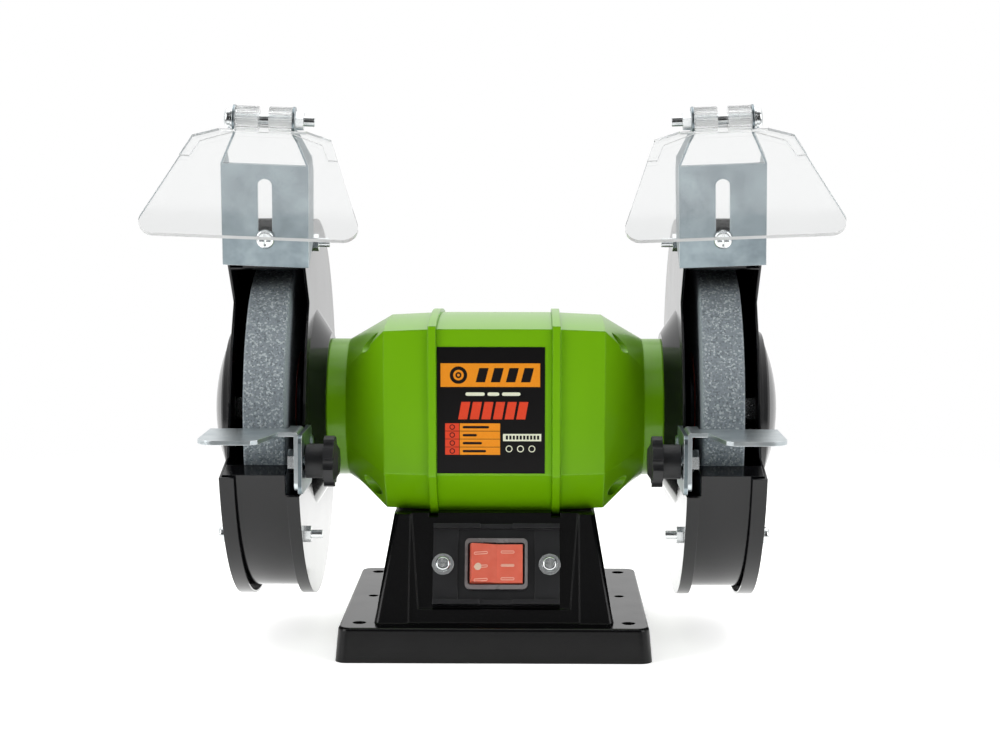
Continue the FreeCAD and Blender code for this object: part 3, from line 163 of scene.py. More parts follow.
bpy.context.scene.view_settings.view_transform = "Standard"
world = bpy.data.worlds.new("studio")
world.use_nodes = True
bpy.context.scene.world = world
sky = world.node_tree
sky.nodes.clear()
looking = add(sky, "TexCoord")
sides = add(sky, "SeparateXYZ", links={"Vector": looking.outputs["Generated"]})
from_front = add(sky, "MapRange",
                 {"interpolation_type": "SMOOTHSTEP", "From Min": darkest_y, "From Max": whitest_y,
                  "To Min": front_light, "To Max": back_light},
                 {"Value": sides.outputs["Y"]})
lit_room = add(sky, "Background", {"Color": colour("#FFFFFF")}, {"Strength": from_front.outputs["Result"]})
white_wall = add(sky, "Background", {"Color": colour("#FFFFFF"), "Strength": 1.0})
seen = add(sky, "LightPath")
seen_through = add(sky, "Math", {"operation": "MAXIMUM"},
                   {0: seen.outputs["Is Camera Ray"], 1: seen.outputs["Is Transmission Ray"]})
room = add(sky, "MixShader", links={"Fac": seen_through.outputs["Value"], 1: lit_room.outputs["Background"],
                                    2: white_wall.outputs["Background"]})
add(sky, "OutputWorld", links={"Surface": room.outputs["Shader"]})


# %% Soft boxes
def soft_box(name, place, aim, width, height, watts):
    """A rectangular area lamp at a place, turned to face a point."""
    lamp = bpy.data.lights.new(name, "AREA")
    lamp.shape = "RECTANGLE"
    lamp.size = width
    lamp.size_y = height
    lamp.energy = watts
    holder = bpy.data.objects.new(name, lamp)
    holder.location = place
    holder.rotation_euler = (Vector(aim) - Vector(place)).to_track_quat("-Z", "Y").to_euler()
    bpy.context.scene.collection.objects.link(holder)


middle = (0.0, 0.0, shaft_height)
soft_box("overhead_box", (0.0, 0.45, 1.6), (0.0, 0.45, 0.0), 2.6, 2.0, 18.0)
soft_box("front_card", (0.0, -1.56, 1.1), middle, 1.6, 0.35, 0.6)
soft_box("left_box", (-1.15, -0.75, 0.55), middle, 0.7, 1.0, 8.5)
soft_box("right_box", (1.15, -0.75, 0.55), middle, 0.7, 1.0, 6.5)

# %% [markdown]
# ## The floor
# A roll of white paper: matt, very slightly fibrous. It is lit from below like a light table, so that an object
# on it has almost no shadow: a little emission in the paper does that. It is solid under and around the machine,
# where it sends light back up under the housing, and it fades out further away so that no edge or horizon shows
# against the white wall.

# %% Floor
floor_radius = 1.6
floor_corners = 96
solid_radius = 0.3
gone_radius = 0.75
paper_glow = 0.6

floor_mesh = bpy.data.meshes.new("paper_sweep")
shape = bmesh.new()
bmesh.ops.create_circle(shape, cap_ends=True, segments=floor_corners, radius=floor_radius)
shape.to_mesh(floor_mesh)
shape.free()
floor = bpy.data.objects.new("paper_sweep", floor_mesh)
floor.location.z = cad_low.z
bpy.context.scene.collection.objects.link(floor)

paper = blank("matt_white_paper")
tree = paper.node_tree
place = add(tree, "TexCoord")
fibre = noise(tree, 1.5, 3.0, place.outputs["Object"])
tone = blend(tree, "#F7F7F6", "#FDFDFD", fibre.outputs["Fac"])
relief = add(tree, "Bump", {"Strength": 0.3, "Distance": 0.05 * MM}, {"Height": fibre.outputs["Fac"]})
sheet = add(tree, "BsdfPrincipled",
            {"Roughness": 0.9, "Specular IOR Level": 0.2, "Emission Strength": paper_glow},
            {"Base Color": tone.outputs[2], "Emission Color": tone.outputs[2],
             "Normal": relief.outputs["Normal"]})
away = add(tree, "VectorMath", {"operation": "LENGTH"}, {0: place.outputs["Object"]})
fade = add(tree, "MapRange",
           {"interpolation_type": "SMOOTHSTEP", "From Min": solid_radius, "From Max": gone_radius},
           {"Value": away.outputs["Value"]})
gone = add(tree, "BsdfTransparent")
paper_surface = add(tree, "MixShader", links={"Fac": fade.outputs["Result"], 1: sheet.outputs["BSDF"],
                                              2: gone.outputs["BSDF"]})
add(tree, "OutputMaterial", links={"Surface": paper_surface.outputs["Shader"]})
floor_mesh.materials.append(paper)
print("floor radius", floor_radius, "m at z", round(cad_low.z, 4))

# %% [markdown]
# ## Black enamel on the cast base
# The pedestal and base plate are one aluminium die casting with sprayed gloss black enamel. Sprayed paint never
# dries perfectly flat: it keeps a faint waviness about two millimetres across, called orange peel, which is what
# makes its reflections soft at the edges. Under it the cast skin adds a finer grain. A real casting has no sharp
# edge either, so a Bevel node rounds the shading at each edge, and the light catches it in a thin bright line.


# %% Enamel on the casting
def black_enamel_casting():
    made = blank("gloss_black_enamel_on_casting")
    tree = made.node_tree
    place = add(tree, "TexCoord").outputs["Object"]
    cloud = noise(tree, 18, 2.0, place)
    tone = blend(tree, "#040405", "#0A0A0B", cloud.outputs["Fac"])
    gloss = span(tree, 0.14, 0.26, cloud.outputs["Fac"])
    peel = noise(tree, 2.2, 1.0, place)
    skin = noise(tree, 0.7, 2.0, place)
    rounded = add(tree, "Bevel", {"samples": 6, "Radius": 0.8 * MM})
    wave = add(tree, "Bump", {"Strength": 0.5, "Distance": 0.020 * MM},
               {"Height": peel.outputs["Fac"], "Normal": rounded.outputs["Normal"]})
    grain = add(tree, "Bump", {"Strength": 0.5, "Distance": 0.008 * MM},
                {"Height": skin.outputs["Fac"], "Normal": wave.outputs["Normal"]})
    paint = add(tree, "BsdfPrincipled", {"IOR": 1.5, "Specular IOR Level": 0.26},
                {"Base Color": tone.outputs[2], "Roughness": gloss.outputs["Result"],
                 "Normal": grain.outputs["Normal"]})
    add(tree, "OutputMaterial", links={"Surface": paint.outputs["BSDF"]})
    return made


# %% [markdown]
# ## Black enamel on pressed sheet
# The wheel guards are pressed from steel sheet and dipped in the same enamel, then baked. Sheet is flatter than a
# casting, so the paint lies smoother and mirrors the white wall almost cleanly at a low angle. The same recipe is
# used with a longer, lower wave and less grain.


# %% Enamel on sheet
def black_enamel_sheet(name, dull, shine):
    """Baked black paint on steel sheet, with roughness from shine to dull."""
    made = blank(name)
    tree = made.node_tree
    place = add(tree, "TexCoord").outputs["Object"]
    cloud = noise(tree, 30, 2.0, place)
    tone = blend(tree, "#08080A", "#131315", cloud.outputs["Fac"])
    gloss = span(tree, shine, dull, cloud.outputs["Fac"])
    peel = noise(tree, 3.5, 1.0, place)
    rounded = add(tree, "Bevel", {"samples": 6, "Radius": 0.5 * MM})
    wave = add(tree, "Bump", {"Strength": 0.5, "Distance": 0.014 * MM},
               {"Height": peel.outputs["Fac"], "Normal": rounded.outputs["Normal"]})
    paint = add(tree, "BsdfPrincipled", {"IOR": 1.5, "Specular IOR Level": 0.4},
                {"Base Color": tone.outputs[2], "Roughness": gloss.outputs["Result"],
                 "Normal": wave.outputs["Normal"]})
    add(tree, "OutputMaterial", links={"Surface": paint.outputs["BSDF"]})
    return made


# %% [markdown]
# ## Green enamel
# The motor housing is cast aluminium in yellow-green enamel under a clear gloss. The colour is a deep, almost
# blue-free green, so anything pale that shows on it is a reflection. The clear layer is the shader's coat, which
# reflects sharply over a softer base, and both follow the orange peel.


# %% Green paint
def green_enamel():
    made = blank("green_enamel_on_casting")
    tree = made.node_tree
    place = add(tree, "TexCoord").outputs["Object"]
    cloud = noise(tree, 40, 1.0, place)
    tone = blend(tree, "#70AE00", "#75B302", cloud.outputs["Fac"])
    gloss = span(tree, 0.28, 0.34, cloud.outputs["Fac"])
    peel = noise(tree, 3.0, 1.0, place)
    skin = noise(tree, 0.8, 2.0, place)
    rounded = add(tree, "Bevel", {"samples": 6, "Radius": 1.0 * MM})
    wave = add(tree, "Bump", {"Strength": 0.4, "Distance": 0.012 * MM},
               {"Height": peel.outputs["Fac"], "Normal": rounded.outputs["Normal"]})
    grain = add(tree, "Bump", {"Strength": 0.4, "Distance": 0.004 * MM},
                {"Height": skin.outputs["Fac"], "Normal": wave.outputs["Normal"]})
    paint = add(tree, "BsdfPrincipled",
                {"IOR": 1.5, "Specular IOR Level": 0.3,
                 "Coat Weight": 0.2, "Coat Roughness": 0.1, "Coat IOR": 1.5},
                {"Base Color": tone.outputs[2], "Roughness": gloss.outputs["Result"],
                 "Normal": grain.outputs["Normal"], "Coat Normal": wave.outputs["Normal"]})
    add(tree, "OutputMaterial", links={"Surface": paint.outputs["BSDF"]})
    return made


# %% [markdown]
# ## Zinc-plated sheet
# The tool rests and shield brackets are stamped from cold-rolled steel and zinc plated. Plating follows the
# sheet's rolling marks, so there are fine streaks along it, and the clear chromate over the zinc leaves bluish
# and greyish clouds about a centimetre across. Where the die cut the sheet, the edge is bare, and it is painted
# near white: partly the bare steel, partly a painted highlight. The edge is found by comparing the true surface
# direction with the one that a Bevel node gives: they differ only there.


# %% Zinc sheet
def zinc_sheet(name, dark, light):
    """Zinc-plated rolled sheet whose clouds lie between two tones."""
    made = blank(name)
    tree = made.node_tree
    place = add(tree, "TexCoord").outputs["Object"]
    cloud = add(tree, "TexNoise", {"Scale": per_metre(14), "Detail": 3.0, "Roughness": 0.6}, {"Vector": place})
    along = add(tree, "Mapping", {"Scale": (0.12, 1.0, 1.0)}, {"Vector": place})
    streak = noise(tree, 0.6, 2.0, along.outputs["Vector"])
    clouds = add(tree, "MapRange", {"From Min": 0.3, "From Max": 0.7}, {"Value": cloud.outputs["Fac"]})
    tone = blend(tree, dark, light, clouds.outputs["Result"])
    rounded = add(tree, "Bevel", {"samples": 6, "Radius": 0.35 * MM})
    surface = add(tree, "NewGeometry")
    turn = add(tree, "VectorMath", {"operation": "DOT_PRODUCT"},
               {0: rounded.outputs["Normal"], 1: surface.outputs["Normal"]})
    edge = add(tree, "MapRange", {"From Min": 0.995, "From Max": 0.85}, {"Value": turn.outputs["Value"]})
    # cut edges painted near white: bare steel and a painted highlight along the edge
    bare_edge_and_highlight = add(tree, "Mix", {"data_type": "RGBA", 7: colour("#F2F5F6")},
                 {0: edge.outputs["Result"], 6: tone.outputs[2]})
    gloss = span(tree, 0.27, 0.42, streak.outputs["Fac"])
    rolled = add(tree, "Bump", {"Strength": 0.4, "Distance": 0.006 * MM},
                 {"Height": streak.outputs["Fac"], "Normal": rounded.outputs["Normal"]})
    metal = add(tree, "BsdfPrincipled", {"Metallic": 1.0},
                {"Base Color": bare_edge_and_highlight.outputs[2], "Roughness": gloss.outputs["Result"],
                 "Normal": rolled.outputs["Normal"]})
    add(tree, "OutputMaterial", links={"Surface": metal.outputs["BSDF"]})
    return made


# %% [markdown]
# ## Bare and plated metals
# Screws, nuts, shafts and bearings are all bright metal with different tones and polish. One recipe serves them:
# a metal whose tone and roughness drift a little over a few millimetres, with fine scratches from handling. A
# screw is bright zinc, a ground shaft is clean steel, and the wheel flanges are blackened.


# %% Plain metals
def plain_metal(name, dark, light, polish, grain):
    """A metal between two tones. Polish is its lowest roughness and grain the size of its marks in mm."""
    made = blank(name)
    tree = made.node_tree
    place = add(tree, "TexCoord").outputs["Object"]
    drift = noise(tree, grain * 6, 3.0, place)
    marks = noise(tree, grain, 2.0, place)
    tone = blend(tree, dark, light, drift.outputs["Fac"])
    gloss = span(tree, polish, polish + 0.16, marks.outputs["Fac"])
    rounded = add(tree, "Bevel", {"samples": 4, "Radius": 0.25 * MM})
    relief = add(tree, "Bump", {"Strength": 0.4, "Distance": 0.01 * MM},
                 {"Height": marks.outputs["Fac"], "Normal": rounded.outputs["Normal"]})
    metal = add(tree, "BsdfPrincipled", {"Metallic": 1.0},
                {"Base Color": tone.outputs[2], "Roughness": gloss.outputs["Result"],
                 "Normal": relief.outputs["Normal"]})
    add(tree, "OutputMaterial", links={"Surface": metal.outputs["BSDF"]})
    return made


# %% [markdown]
# ## Laminated steel and copper wire
# Inside the motor, the cores are stacks of thin punched sheets, and the coils are enamelled wire wound side by
# side. Both are fine stripes. Real sheets are half a millimetre thick, and the stripes are drawn at that size.


# %% Striped metals
def striped_metal(name, dark, light, pitch, direction):
    """A metal of fine stripes, pitch mm apart, stacked along the X or Y axis."""
    made = blank(name)
    tree = made.node_tree
    place = add(tree, "TexCoord").outputs["Object"]
    # a wave texture repeats every two pi of its scale, and its own factor is twenty
    stripe = add(tree, "TexWave", {"bands_direction": direction, "Scale": per_metre(pitch) * math.pi / 10,
                                   "Distortion": 0.6, "Detail": 1.0}, {"Vector": place})
    tone = blend(tree, dark, light, stripe.outputs["Fac"])
    relief = add(tree, "Bump", {"Strength": 0.7, "Distance": 0.1 * MM}, {"Height": stripe.outputs["Fac"]})
    metal = add(tree, "BsdfPrincipled", {"Metallic": 1.0, "Roughness": 0.35},
                {"Base Color": tone.outputs[2], "Normal": relief.outputs["Normal"]})
    add(tree, "OutputMaterial", links={"Surface": metal.outputs["BSDF"]})
    return made


# %% [markdown]
# ## Moulded plastics
# The switch plate, switch body, knobs and gland are moulded plastic. The mould is spark eroded, which leaves a
# satin grain of about a third of a millimetre. Colour is in the plastic, so only its sheen changes: a knob that
# is gripped is duller than the switch plate.


# %% Moulded plastic
def moulded_plastic(name, dark, light, sheen, grain, relief_depth):
    """Plastic between two tones, with its lowest roughness, the size of its grain and its depth in mm."""
    made = blank(name)
    tree = made.node_tree
    place = add(tree, "TexCoord").outputs["Object"]
    flow = noise(tree, 9, 3.0, place)
    spark = noise(tree, grain, 2.0, place)
    tone = blend(tree, dark, light, flow.outputs["Fac"])
    gloss = span(tree, sheen, sheen + 0.15, flow.outputs["Fac"])
    rounded = add(tree, "Bevel", {"samples": 4, "Radius": 0.4 * MM})
    relief = add(tree, "Bump", {"Strength": 0.5, "Distance": relief_depth * MM},
                 {"Height": spark.outputs["Fac"], "Normal": rounded.outputs["Normal"]})
    plastic = add(tree, "BsdfPrincipled", {"IOR": 1.5},
                  {"Base Color": tone.outputs[2], "Roughness": gloss.outputs["Result"],
                   "Normal": relief.outputs["Normal"]})
    add(tree, "OutputMaterial", links={"Surface": plastic.outputs["BSDF"]})
    return made


# %% [markdown]
# ## Grinding stone
# A wheel is hard grit held in a glassy bond, with air between the grains. A medium wheel has grains of about half
# a millimetre. Cells of a Voronoi texture stand for the grains: each takes a random number, the highest become
# bright crystal faces, the lowest dark pores. They are drawn a little larger so that they still show
# from a metre away. The side faces come from the mould and are smoother, so the speckle is weaker there.


# %% Grinding stone
def grinding_stone():
    made = blank("vitrified_grinding_stone")
    tree = made.node_tree
    places = add(tree, "TexCoord")
    place = places.outputs["Object"]
    grains = add(tree, "TexVoronoi", {"Scale": per_metre(0.8)}, {"Vector": place})
    chance = add(tree, "SeparateColor", links={"Color": grains.outputs["Color"]})
    crystal = add(tree, "MapRange", {"From Min": 0.62, "From Max": 0.95}, {"Value": chance.outputs["Red"]})
    pore = add(tree, "MapRange", {"From Min": 0.62, "From Max": 0.95}, {"Value": chance.outputs["Green"]})
    facing = add(tree, "SeparateXYZ", links={"Vector": places.outputs["Normal"]})
    across = add(tree, "Math", {"operation": "ABSOLUTE"}, {0: facing.outputs["X"]})
    strength = add(tree, "MapRange", {"From Min": 0.6, "From Max": 0.9, "To Min": 0.8, "To Max": 0.3},
                   {"Value": across.outputs["Value"]})
    crystal_share = add(tree, "Math", {"operation": "MULTIPLY"},
                        {0: crystal.outputs["Result"], 1: strength.outputs["Result"]})
    pore_share = add(tree, "Math", {"operation": "MULTIPLY"},
                     {0: pore.outputs["Result"], 1: strength.outputs["Result"]})
    patch = noise(tree, 12, 2.0, place)
    bond = blend(tree, "#7E878C", "#8B949A", patch.outputs["Fac"])
    lit = add(tree, "Mix", {"data_type": "RGBA", 7: colour("#C3CBCD")},
              {0: crystal_share.outputs["Value"], 6: bond.outputs[2]})
    tone = add(tree, "Mix", {"data_type": "RGBA", 7: colour("#646C71")},
               {0: pore_share.outputs["Value"], 6: lit.outputs[2]})
    relief = add(tree, "Bump", {"Strength": 0.6, "Distance": 0.25 * MM}, {"Height": chance.outputs["Blue"]})
    stone = add(tree, "BsdfPrincipled", {"Roughness": 0.8, "Specular IOR Level": 0.35},
                {"Base Color": tone.outputs[2], "Normal": relief.outputs["Normal"]})
    add(tree, "OutputMaterial", links={"Surface": stone.outputs["BSDF"]})
    return made


# %% [markdown]
# ## Clear polycarbonate
# The eye shields are clear sheet a couple of millimetres thick. Light bends into it and out again, and each face
# sends a little back, so it looks slightly grey against white. Its cut and moulded edges are not polished, so
# they scatter light and look milky. The flat faces all point along one direction, the one square to the sheet, so
# any surface that points elsewhere is an edge or a hinge tube and lets less light straight through. A lamp's
# light would have to find its way through both faces to reach what is behind, which takes a renderer a very long
# time, so for shadow rays the sheet is simply clear. Handling leaves a very faint unevenness. The refractive
# index is set a little under the 1.58 of the real plastic, so that the faces mirror less.

# %% Clear plastic
shield_hang = math.radians(37)
shield_index = 1.5
across_sheet = (0.0, math.cos(shield_hang), -math.sin(shield_hang))


def clear_plastic(name, tint, haze, wave_depth):
    """See-through plastic of one tint. Haze is its roughness and wave_depth its unevenness in mm."""
    made = blank(name)
    tree = made.node_tree
    places = add(tree, "TexCoord")
    ripple = noise(tree, 16, 1.0, places.outputs["Object"])
    relief = add(tree, "Bump", {"Strength": 0.3, "Distance": wave_depth * MM}, {"Height": ripple.outputs["Fac"]})
    handled = span(tree, haze, haze + 0.05, ripple.outputs["Fac"])
    along = add(tree, "VectorMath", {"operation": "DOT_PRODUCT", 1: across_sheet}, {0: places.outputs["Normal"]})
    flat = add(tree, "Math", {"operation": "ABSOLUTE"}, {0: along.outputs["Value"]})
    clear = add(tree, "MapRange", {"From Min": 0.5, "From Max": 0.95, "To Min": 0.35, "To Max": 1.0},
                {"Value": flat.outputs["Value"]})
    glass = add(tree, "BsdfPrincipled", {"Base Color": colour(tint), "IOR": shield_index},
                {"Roughness": handled.outputs["Result"], "Normal": relief.outputs["Normal"],
                 "Transmission Weight": clear.outputs["Result"]})
    open_way = add(tree, "BsdfTransparent", {"Color": colour(tint)})
    path = add(tree, "LightPath")
    either = add(tree, "MixShader", links={"Fac": path.outputs["Is Shadow Ray"], 1: glass.outputs["BSDF"],
                                           2: open_way.outputs["BSDF"]})
    add(tree, "OutputMaterial", links={"Surface": either.outputs["Shader"]})
    return made


# %% [markdown]
# ## The lamp-lit rocker
# The rocker is moulded in red translucent plastic with a small lamp inside. Light enters it, spreads and comes
# back warmer, which is what subsurface scattering does, and a little emission stands for the light that the
# casing lets through. The plastic is ribbed on its inside, so the tone has faint bars a couple of
# millimetres apart.


# %% Rocker
def red_rocker_plastic():
    made = blank("red_translucent_polycarbonate")
    tree = made.node_tree
    place = add(tree, "TexCoord").outputs["Object"]
    flow = noise(tree, 6, 2.0, place)
    tone = blend(tree, "#D05C46", "#DC705C", flow.outputs["Fac"])
    ribs = add(tree, "TexWave", {"bands_direction": "X", "Scale": per_metre(2.2) * math.pi / 10},
               {"Vector": place})
    relief = add(tree, "Bump", {"Strength": 0.15, "Distance": 0.05 * MM}, {"Height": ribs.outputs["Fac"]})
    plastic = add(tree, "BsdfPrincipled",
                  {"IOR": 1.58, "Roughness": 0.22, "Subsurface Weight": 0.35, "Subsurface Scale": 2 * MM,
                   "Emission Strength": 0.12},
                  {"Base Color": tone.outputs[2], "Emission Color": tone.outputs[2],
                   "Normal": relief.outputs["Normal"]})
    add(tree, "OutputMaterial", links={"Surface": plastic.outputs["BSDF"]})
    return made


# %% [markdown]
# ## Printed film
# The rating label is a thin black plastic film with screen-printed inks. Film is a little wavy because it was
# laid by hand, and ink lies on it as a denser, slightly matter layer with a fine screen grain.


# %% Film and ink
def printed(name, dark, light, sheen):
    """Ink or film between two close tones, with its lowest roughness."""
    made = blank(name)
    tree = made.node_tree
    place = add(tree, "TexCoord").outputs["Object"]
    screen = noise(tree, 0.5, 1.0, place)
    laid = noise(tree, 11, 1.0, place)
    tone = blend(tree, dark, light, screen.outputs["Fac"])
    gloss = span(tree, sheen, sheen + 0.08, screen.outputs["Fac"])
    relief = add(tree, "Bump", {"Strength": 0.4, "Distance": 0.05 * MM}, {"Height": laid.outputs["Fac"]})
    film = add(tree, "BsdfPrincipled", {"IOR": 1.5, "Specular IOR Level": 0.25},
               {"Base Color": tone.outputs[2], "Roughness": gloss.outputs["Result"],
                "Normal": relief.outputs["Normal"]})
    add(tree, "OutputMaterial", links={"Surface": film.outputs["BSDF"]})
    return made


# %% [markdown]
# ## Dressing the CAD nodes
# Each CAD node came in with one material slot, named in the record for its finish. Making each finish once and
# putting it in every slot of that name dresses the whole machine, and a slot that has no finish stops the script.
# The tool rests are the one exception: in this light the brackets' zinc comes out too dark on them, so they get
# a paler tone of the same finish, which is painted light.

# %% Dress the nodes
finishes = {
    "gloss_black_casting": black_enamel_casting(),
    "gloss_black_sheet": black_enamel_sheet("baked_black_enamel_on_sheet", 0.16, 0.08),
    "black_sheet": black_enamel_sheet("satin_black_enamel_on_sheet", 0.5, 0.36),
    "green_paint": green_enamel(),
    "zinc_sheet": zinc_sheet("blue_zinc_plated_steel_sheet", "#727D83", "#929EA3"),
    "zinc_screws": plain_metal("bright_zinc_plated_steel", "#CBD0D2", "#ECEEEE", 0.16, 0.8),
    "core_steel": striped_metal("laminated_core_steel", "#4A4C50", "#8A8D90", 0.5, "X"),
    "shaft_steel": plain_metal("ground_shaft_steel", "#B4B6B8", "#CDCFD0", 0.2, 0.4),
    "bearing_steel": plain_metal("polished_bearing_steel", "#C4C6C8", "#DCDDDE", 0.08, 0.4),
    "copper_wire": striped_metal("enamelled_copper_wire", "#8A4A22", "#C97A3C", 0.8, "Y"),
    "cast_aluminium": plain_metal("die_cast_aluminium", "#A4A6A8", "#C0C2C3", 0.38, 1.2),
    "black_plastic": moulded_plastic("moulded_black_abs", "#1C1C1E", "#272729", 0.3, 0.35, 0.02),
    "knob_plastic": moulded_plastic("moulded_black_phenolic", "#121214", "#1C1C1F", 0.42, 0.4, 0.04),
    "grey_plastic": moulded_plastic("moulded_grey_abs", "#8A8D8E", "#9EA1A2", 0.4, 0.4, 0.02),
    "red_rocker": red_rocker_plastic(),
    "clear_boot": moulded_plastic("cloudy_soft_vinyl", "#6A6566", "#868182", 0.2, 0.6, 0.02),
    "clear_shield": clear_plastic("clear_polycarbonate", "#EEEFEF", 0.02, 0.03),
    "label_film": printed("black_label_film", "#050405", "#090708", 0.3),
    "grinding_stone": grinding_stone(),
    "dark_flange": plain_metal("blackened_steel", "#2C2E32", "#44464A", 0.36, 1.0),
}
# the brackets' zinc in paler tones for the tool rests: painted light, not a different plating
rest_zinc_painted_lighter = zinc_sheet("zinc_plated_steel_sheet_painted_lighter", "#B4BEC2", "#D3DADC")
for name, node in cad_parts.items():
    for holder in node.material_slots:
        finish = finishes[holder.material.name.split(".")[0]]
        holder.material = rest_zinc_painted_lighter if name.endswith("_tool_rest") else finish
print("finishes", len(finishes), "on", len(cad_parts), "nodes")

# %% [markdown]
# ## Flat printed shapes
# The prints on the label and the marks on the rocker are flat ink on a surface that the CAD already has. Each is
# a small outline in X and Z, and every corner is dropped along Y onto the node it is printed on, so it lies on
# the surface however that is tilted, a few hundredths of a millimetre proud.


# %% Outline helpers
def block(left, right, low, high, lean=0.0):
    """A rectangle's corners in mm. Lean shifts its top edge sideways."""
    return [(left, low), (right, low), (right + lean, high), (left + lean, high)]


def lozenge(left, right, low, high, steps=8):
    """A bar with round ends, as corners in mm."""
    radius = (high - low) / 2
    middle = (high + low) / 2
    ends = [(right - radius, -90), (left + radius, 90)]
    return [(x + radius * math.cos(math.radians(start + 180 * i / steps)),
             middle + radius * math.sin(math.radians(start + 180 * i / steps)))
            for x, start in ends for i in range(steps + 1)]


def disc(x, z, radius, steps=24):
    """A circle's corners in mm."""
    turns = [2 * math.pi * i / steps for i in range(steps)]
    return [(x + radius * math.cos(t), z + radius * math.sin(t)) for t in turns]


def lay_ink(name, node, shapes, ink, lift, rings=()):
    """Lays shapes, and rings given as (outer, inner) outlines, on the front of a CAD node."""
    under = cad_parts[node]
    low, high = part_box(node)

    def drop(corner):
        start = Vector((corner[0] * MM, low.y - 0.02, corner[1] * MM))
        hit, spot, normal, face = under.ray_cast(start, Vector((0, 1, 0)))
        if not hit:
            raise ValueError(f"{name}: {corner} is off {node}")
        return shape.verts.new(spot + normal * lift * MM)

    shape = bmesh.new()
    for outline in shapes:
        shape.faces.new([drop(c) for c in outline])
    for outer, inner in rings:
        outside = [drop(c) for c in outer]
        inside = [drop(c) for c in inner]
        for i in range(len(outside)):
            k = (i + 1) % len(outside)
            shape.faces.new([outside[i], outside[k], inside[k], inside[i]])
    mesh = bpy.data.meshes.new(name)
    shape.to_mesh(mesh)
    shape.free()
    mesh.materials.append(ink)
    laid = bpy.data.objects.new(name, mesh)
    bpy.context.scene.collection.objects.link(laid)
    return laid


# %% [markdown]
# ## The rating label's print
# A real rating label carries a maker's block, a name line and a small table of ratings. All of that is replaced
# by plain shapes: an orange band with a wheel pictogram, a pale line, a row of leaning red blocks, and a table of
# rings and bars. It keeps the colour and the busyness that the label gives the front, and says nothing.

# %% Label print
label_low, label_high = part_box("rating_label")
left = label_low.x / MM
top = label_high.z / MM
orange = printed("orange_screen_ink", "#E8880F", "#F09A2A", 0.3)
red = printed("red_screen_ink", "#D63E22", "#E24C2E", 0.3)
cream = printed("cream_screen_ink", "#DDE0C4", "#E9EBD6", 0.35)
dark = printed("black_screen_ink", "#0A0708", "#120E0F", 0.32)

row_pitch = 3.95
row_height = 3.7
leaning_pitch = 5.7
band_pitch = 7.4
serial_pitch = 1.7
first_ink = 0.02
second_ink = 0.04

band = block(left + 1.8, left + 50.6, top - 19.6, top - 8.0)
table_rows = [top - 37.6 - row_pitch * i for i in range(4)]
orange_cells = [block(left + 11.2, left + 31.0, z - row_height, z) for z in table_rows]
red_cells = [block(left + 4.0, left + 10.9, z - row_height, z) for z in table_rows]
leaning = [block(left + 10.4 + leaning_pitch * i, left + 14.8 + leaning_pitch * i, top - 35.6, top - 27.0, 1.6)
           for i in range(6)]
serial_box = block(left + 32.4, left + 51.2, top - 46.4, top - 42.8)
name_line = [lozenge(left + start, left + end, top - 24.0, top - 22.3)
             for start, end in ((14.0, 23.5), (24.8, 30.6), (31.9, 41.0))]
round_marks = [(disc(left + x, top - 50.2, 1.7), disc(left + x, top - 50.2, 1.25)) for x in (35.4, 41.0, 46.6)]
wheel_mark = [(disc(left + 10.6, top - 13.8, outer), disc(left + 10.6, top - 13.8, inner))
              for outer, inner in ((4.3, 2.6), (1.5, 0.7))]
band_bars = [block(left + 19.0 + band_pitch * i, left + 23.6 + band_pitch * i, top - 17.3, top - 10.3, 1.8)
             for i in range(4)]
cell_rings = [(disc(left + 7.5, z - 1.85, 1.35), disc(left + 7.5, z - 1.85, 0.9)) for z in table_rows]
cell_bars = [lozenge(left + 12.6, left + 12.6 + length, z - 2.5, z - 1.3)
             for z, length in zip(table_rows, (13.0, 7.0, 9.5, 11.5))]
serial_bars = [block(left + 33.8 + serial_pitch * i, left + 34.9 + serial_pitch * i, top - 45.6, top - 43.6)
               for i in range(10)]

label_prints = [
    lay_ink("label_orange_print", "rating_label", [band] + orange_cells, orange, first_ink),
    lay_ink("label_red_print", "rating_label", red_cells + leaning, red, first_ink),
    lay_ink("label_cream_print", "rating_label", [serial_box] + name_line, cream, first_ink, round_marks),
    lay_ink("label_black_print", "rating_label", band_bars + cell_bars + serial_bars, dark, second_ink,
            wheel_mark + cell_rings),
]
for piece in label_prints:
    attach(piece, "frame")
print("label prints", [p.name for p in label_prints])
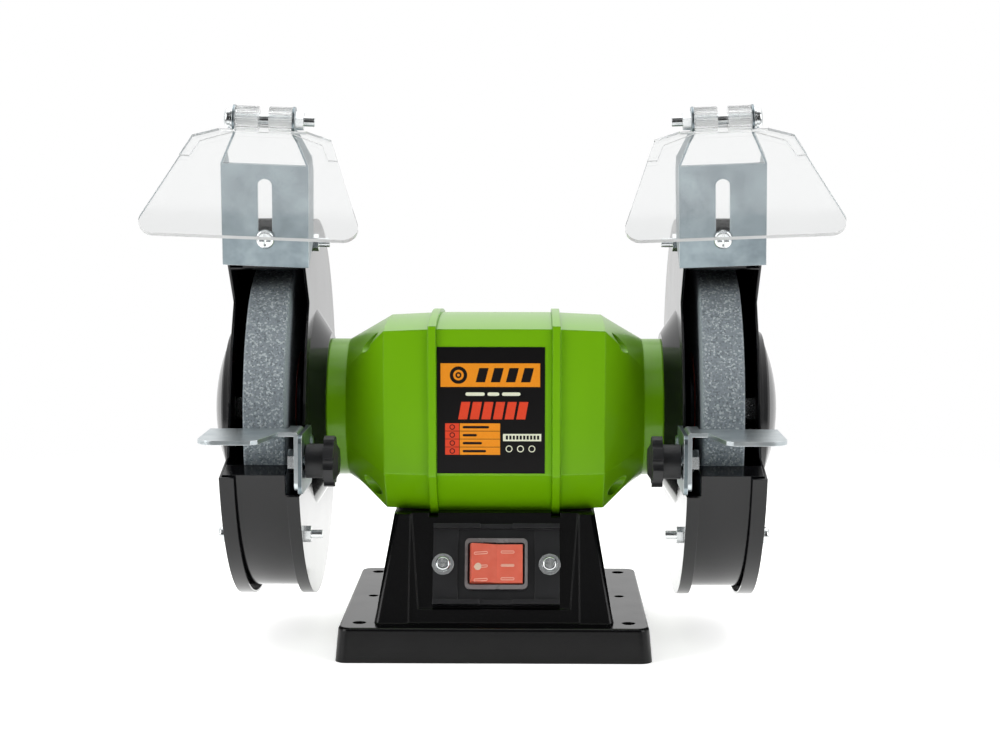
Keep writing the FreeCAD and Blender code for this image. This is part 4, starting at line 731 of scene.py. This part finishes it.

# %% [markdown]
# ## Marks on the rocker
# The rocker's two halves carry three short raised bars each, moulded in and rubbed pale, and the lamp's lens
# shows as a pale round spot through the middle of one half. One more filled pale bar inside the middle bar of the
# right half is a painted highlight. They ride on the rocker, so they tip with it.

# %% Rocker marks
rocker_low, rocker_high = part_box("switch_rocker")
rocker_middle = (rocker_low.z + rocker_high.z) / 2 / MM
pale = printed("pale_moulded_bar_and_painted_highlight", "#EDA893", "#F3BFAE", 0.3)
lens = printed("lamp_lens", "#D9B7A0", "#E8CDB8", 0.2)
bar_side = 6.6
bar_pitch = 6.2
bars = []
for side in (-1, 1):
    for row in (-1, 0, 1):
        x = side * bar_side
        z = rocker_middle + row * bar_pitch
        bars.append((lozenge(x - 3.4, x + 3.4, z - 0.65, z + 0.65),
                     lozenge(x - 3.1, x + 3.1, z - 0.3, z + 0.3)))
# a filled pale bar inside the right half's middle bar: a painted highlight
glint = lozenge(3.6, 9.6, rocker_middle - 0.5, rocker_middle + 0.5)
marks = lay_ink("rocker_bars_and_painted_highlight", "switch_rocker", [glint], pale, 0.05, bars)
spot = lay_ink("rocker_lamp_spot", "switch_rocker", [disc(-8.0, rocker_middle, 1.7)], lens, 0.08)
for piece in (marks, spot):
    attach(piece, "rocker")
print("rocker marks", marks.name, spot.name)

# %% [markdown]
# ## Paper blotters
# A grinding wheel is never clamped bare: a ring of thick paper sits between each flange and the stone, so that
# the clamping force is spread evenly. Each ring stands out a few millimetres past its flange. The ring is lathed
# here from its section, four corners turned about the shaft, and lies on the wheel's face. It turns with the
# rotor.

# %% Blotters
blotter_reach = 4.0 * MM
blotter_thick = 0.5 * MM
blotter_steps = 72
blotter_gap = 0.05 * MM
blotter_paper = printed("blotter_paper", "#8E3B2E", "#A04636", 0.6)
blotters = []
for side in ("left", "right"):
    wheel_low, wheel_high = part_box(side + "_wheel")
    for place in ("inner", "outer"):
        flange_low, flange_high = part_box(f"{side}_{place}_flange")
        flange_r = (flange_high.z - flange_low.z) / 2
        away = 1 if flange_low.x + flange_high.x > wheel_low.x + wheel_high.x else -1
        face_x = wheel_high.x if away > 0 else wheel_low.x
        outer_x = face_x + away * blotter_thick
        section = [(face_x, flange_r + blotter_gap), (outer_x, flange_r + blotter_gap),
                   (outer_x, flange_r + blotter_reach), (face_x, flange_r + blotter_reach)]
        shape = bmesh.new()
        rings = []
        for i in range(blotter_steps):
            turn = 2 * math.pi * i / blotter_steps
            rings.append([shape.verts.new((x, r * math.cos(turn), shaft_height + r * math.sin(turn)))
                          for x, r in section])
        for i in range(blotter_steps):
            here, following = rings[i], rings[(i + 1) % blotter_steps]
            for k in range(4):
                shape.faces.new([here[k], here[(k + 1) % 4], following[(k + 1) % 4], following[k]])
        bmesh.ops.recalc_face_normals(shape, faces=shape.faces)
        mesh = bpy.data.meshes.new(f"{side}_{place}_blotter")
        shape.to_mesh(mesh)
        shape.free()
        mesh.materials.append(blotter_paper)
        ring = bpy.data.objects.new(mesh.name, mesh)
        bpy.context.scene.collection.objects.link(ring)
        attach(ring, "rotor")
        blotters.append(ring.name)
print("blotters", blotters)
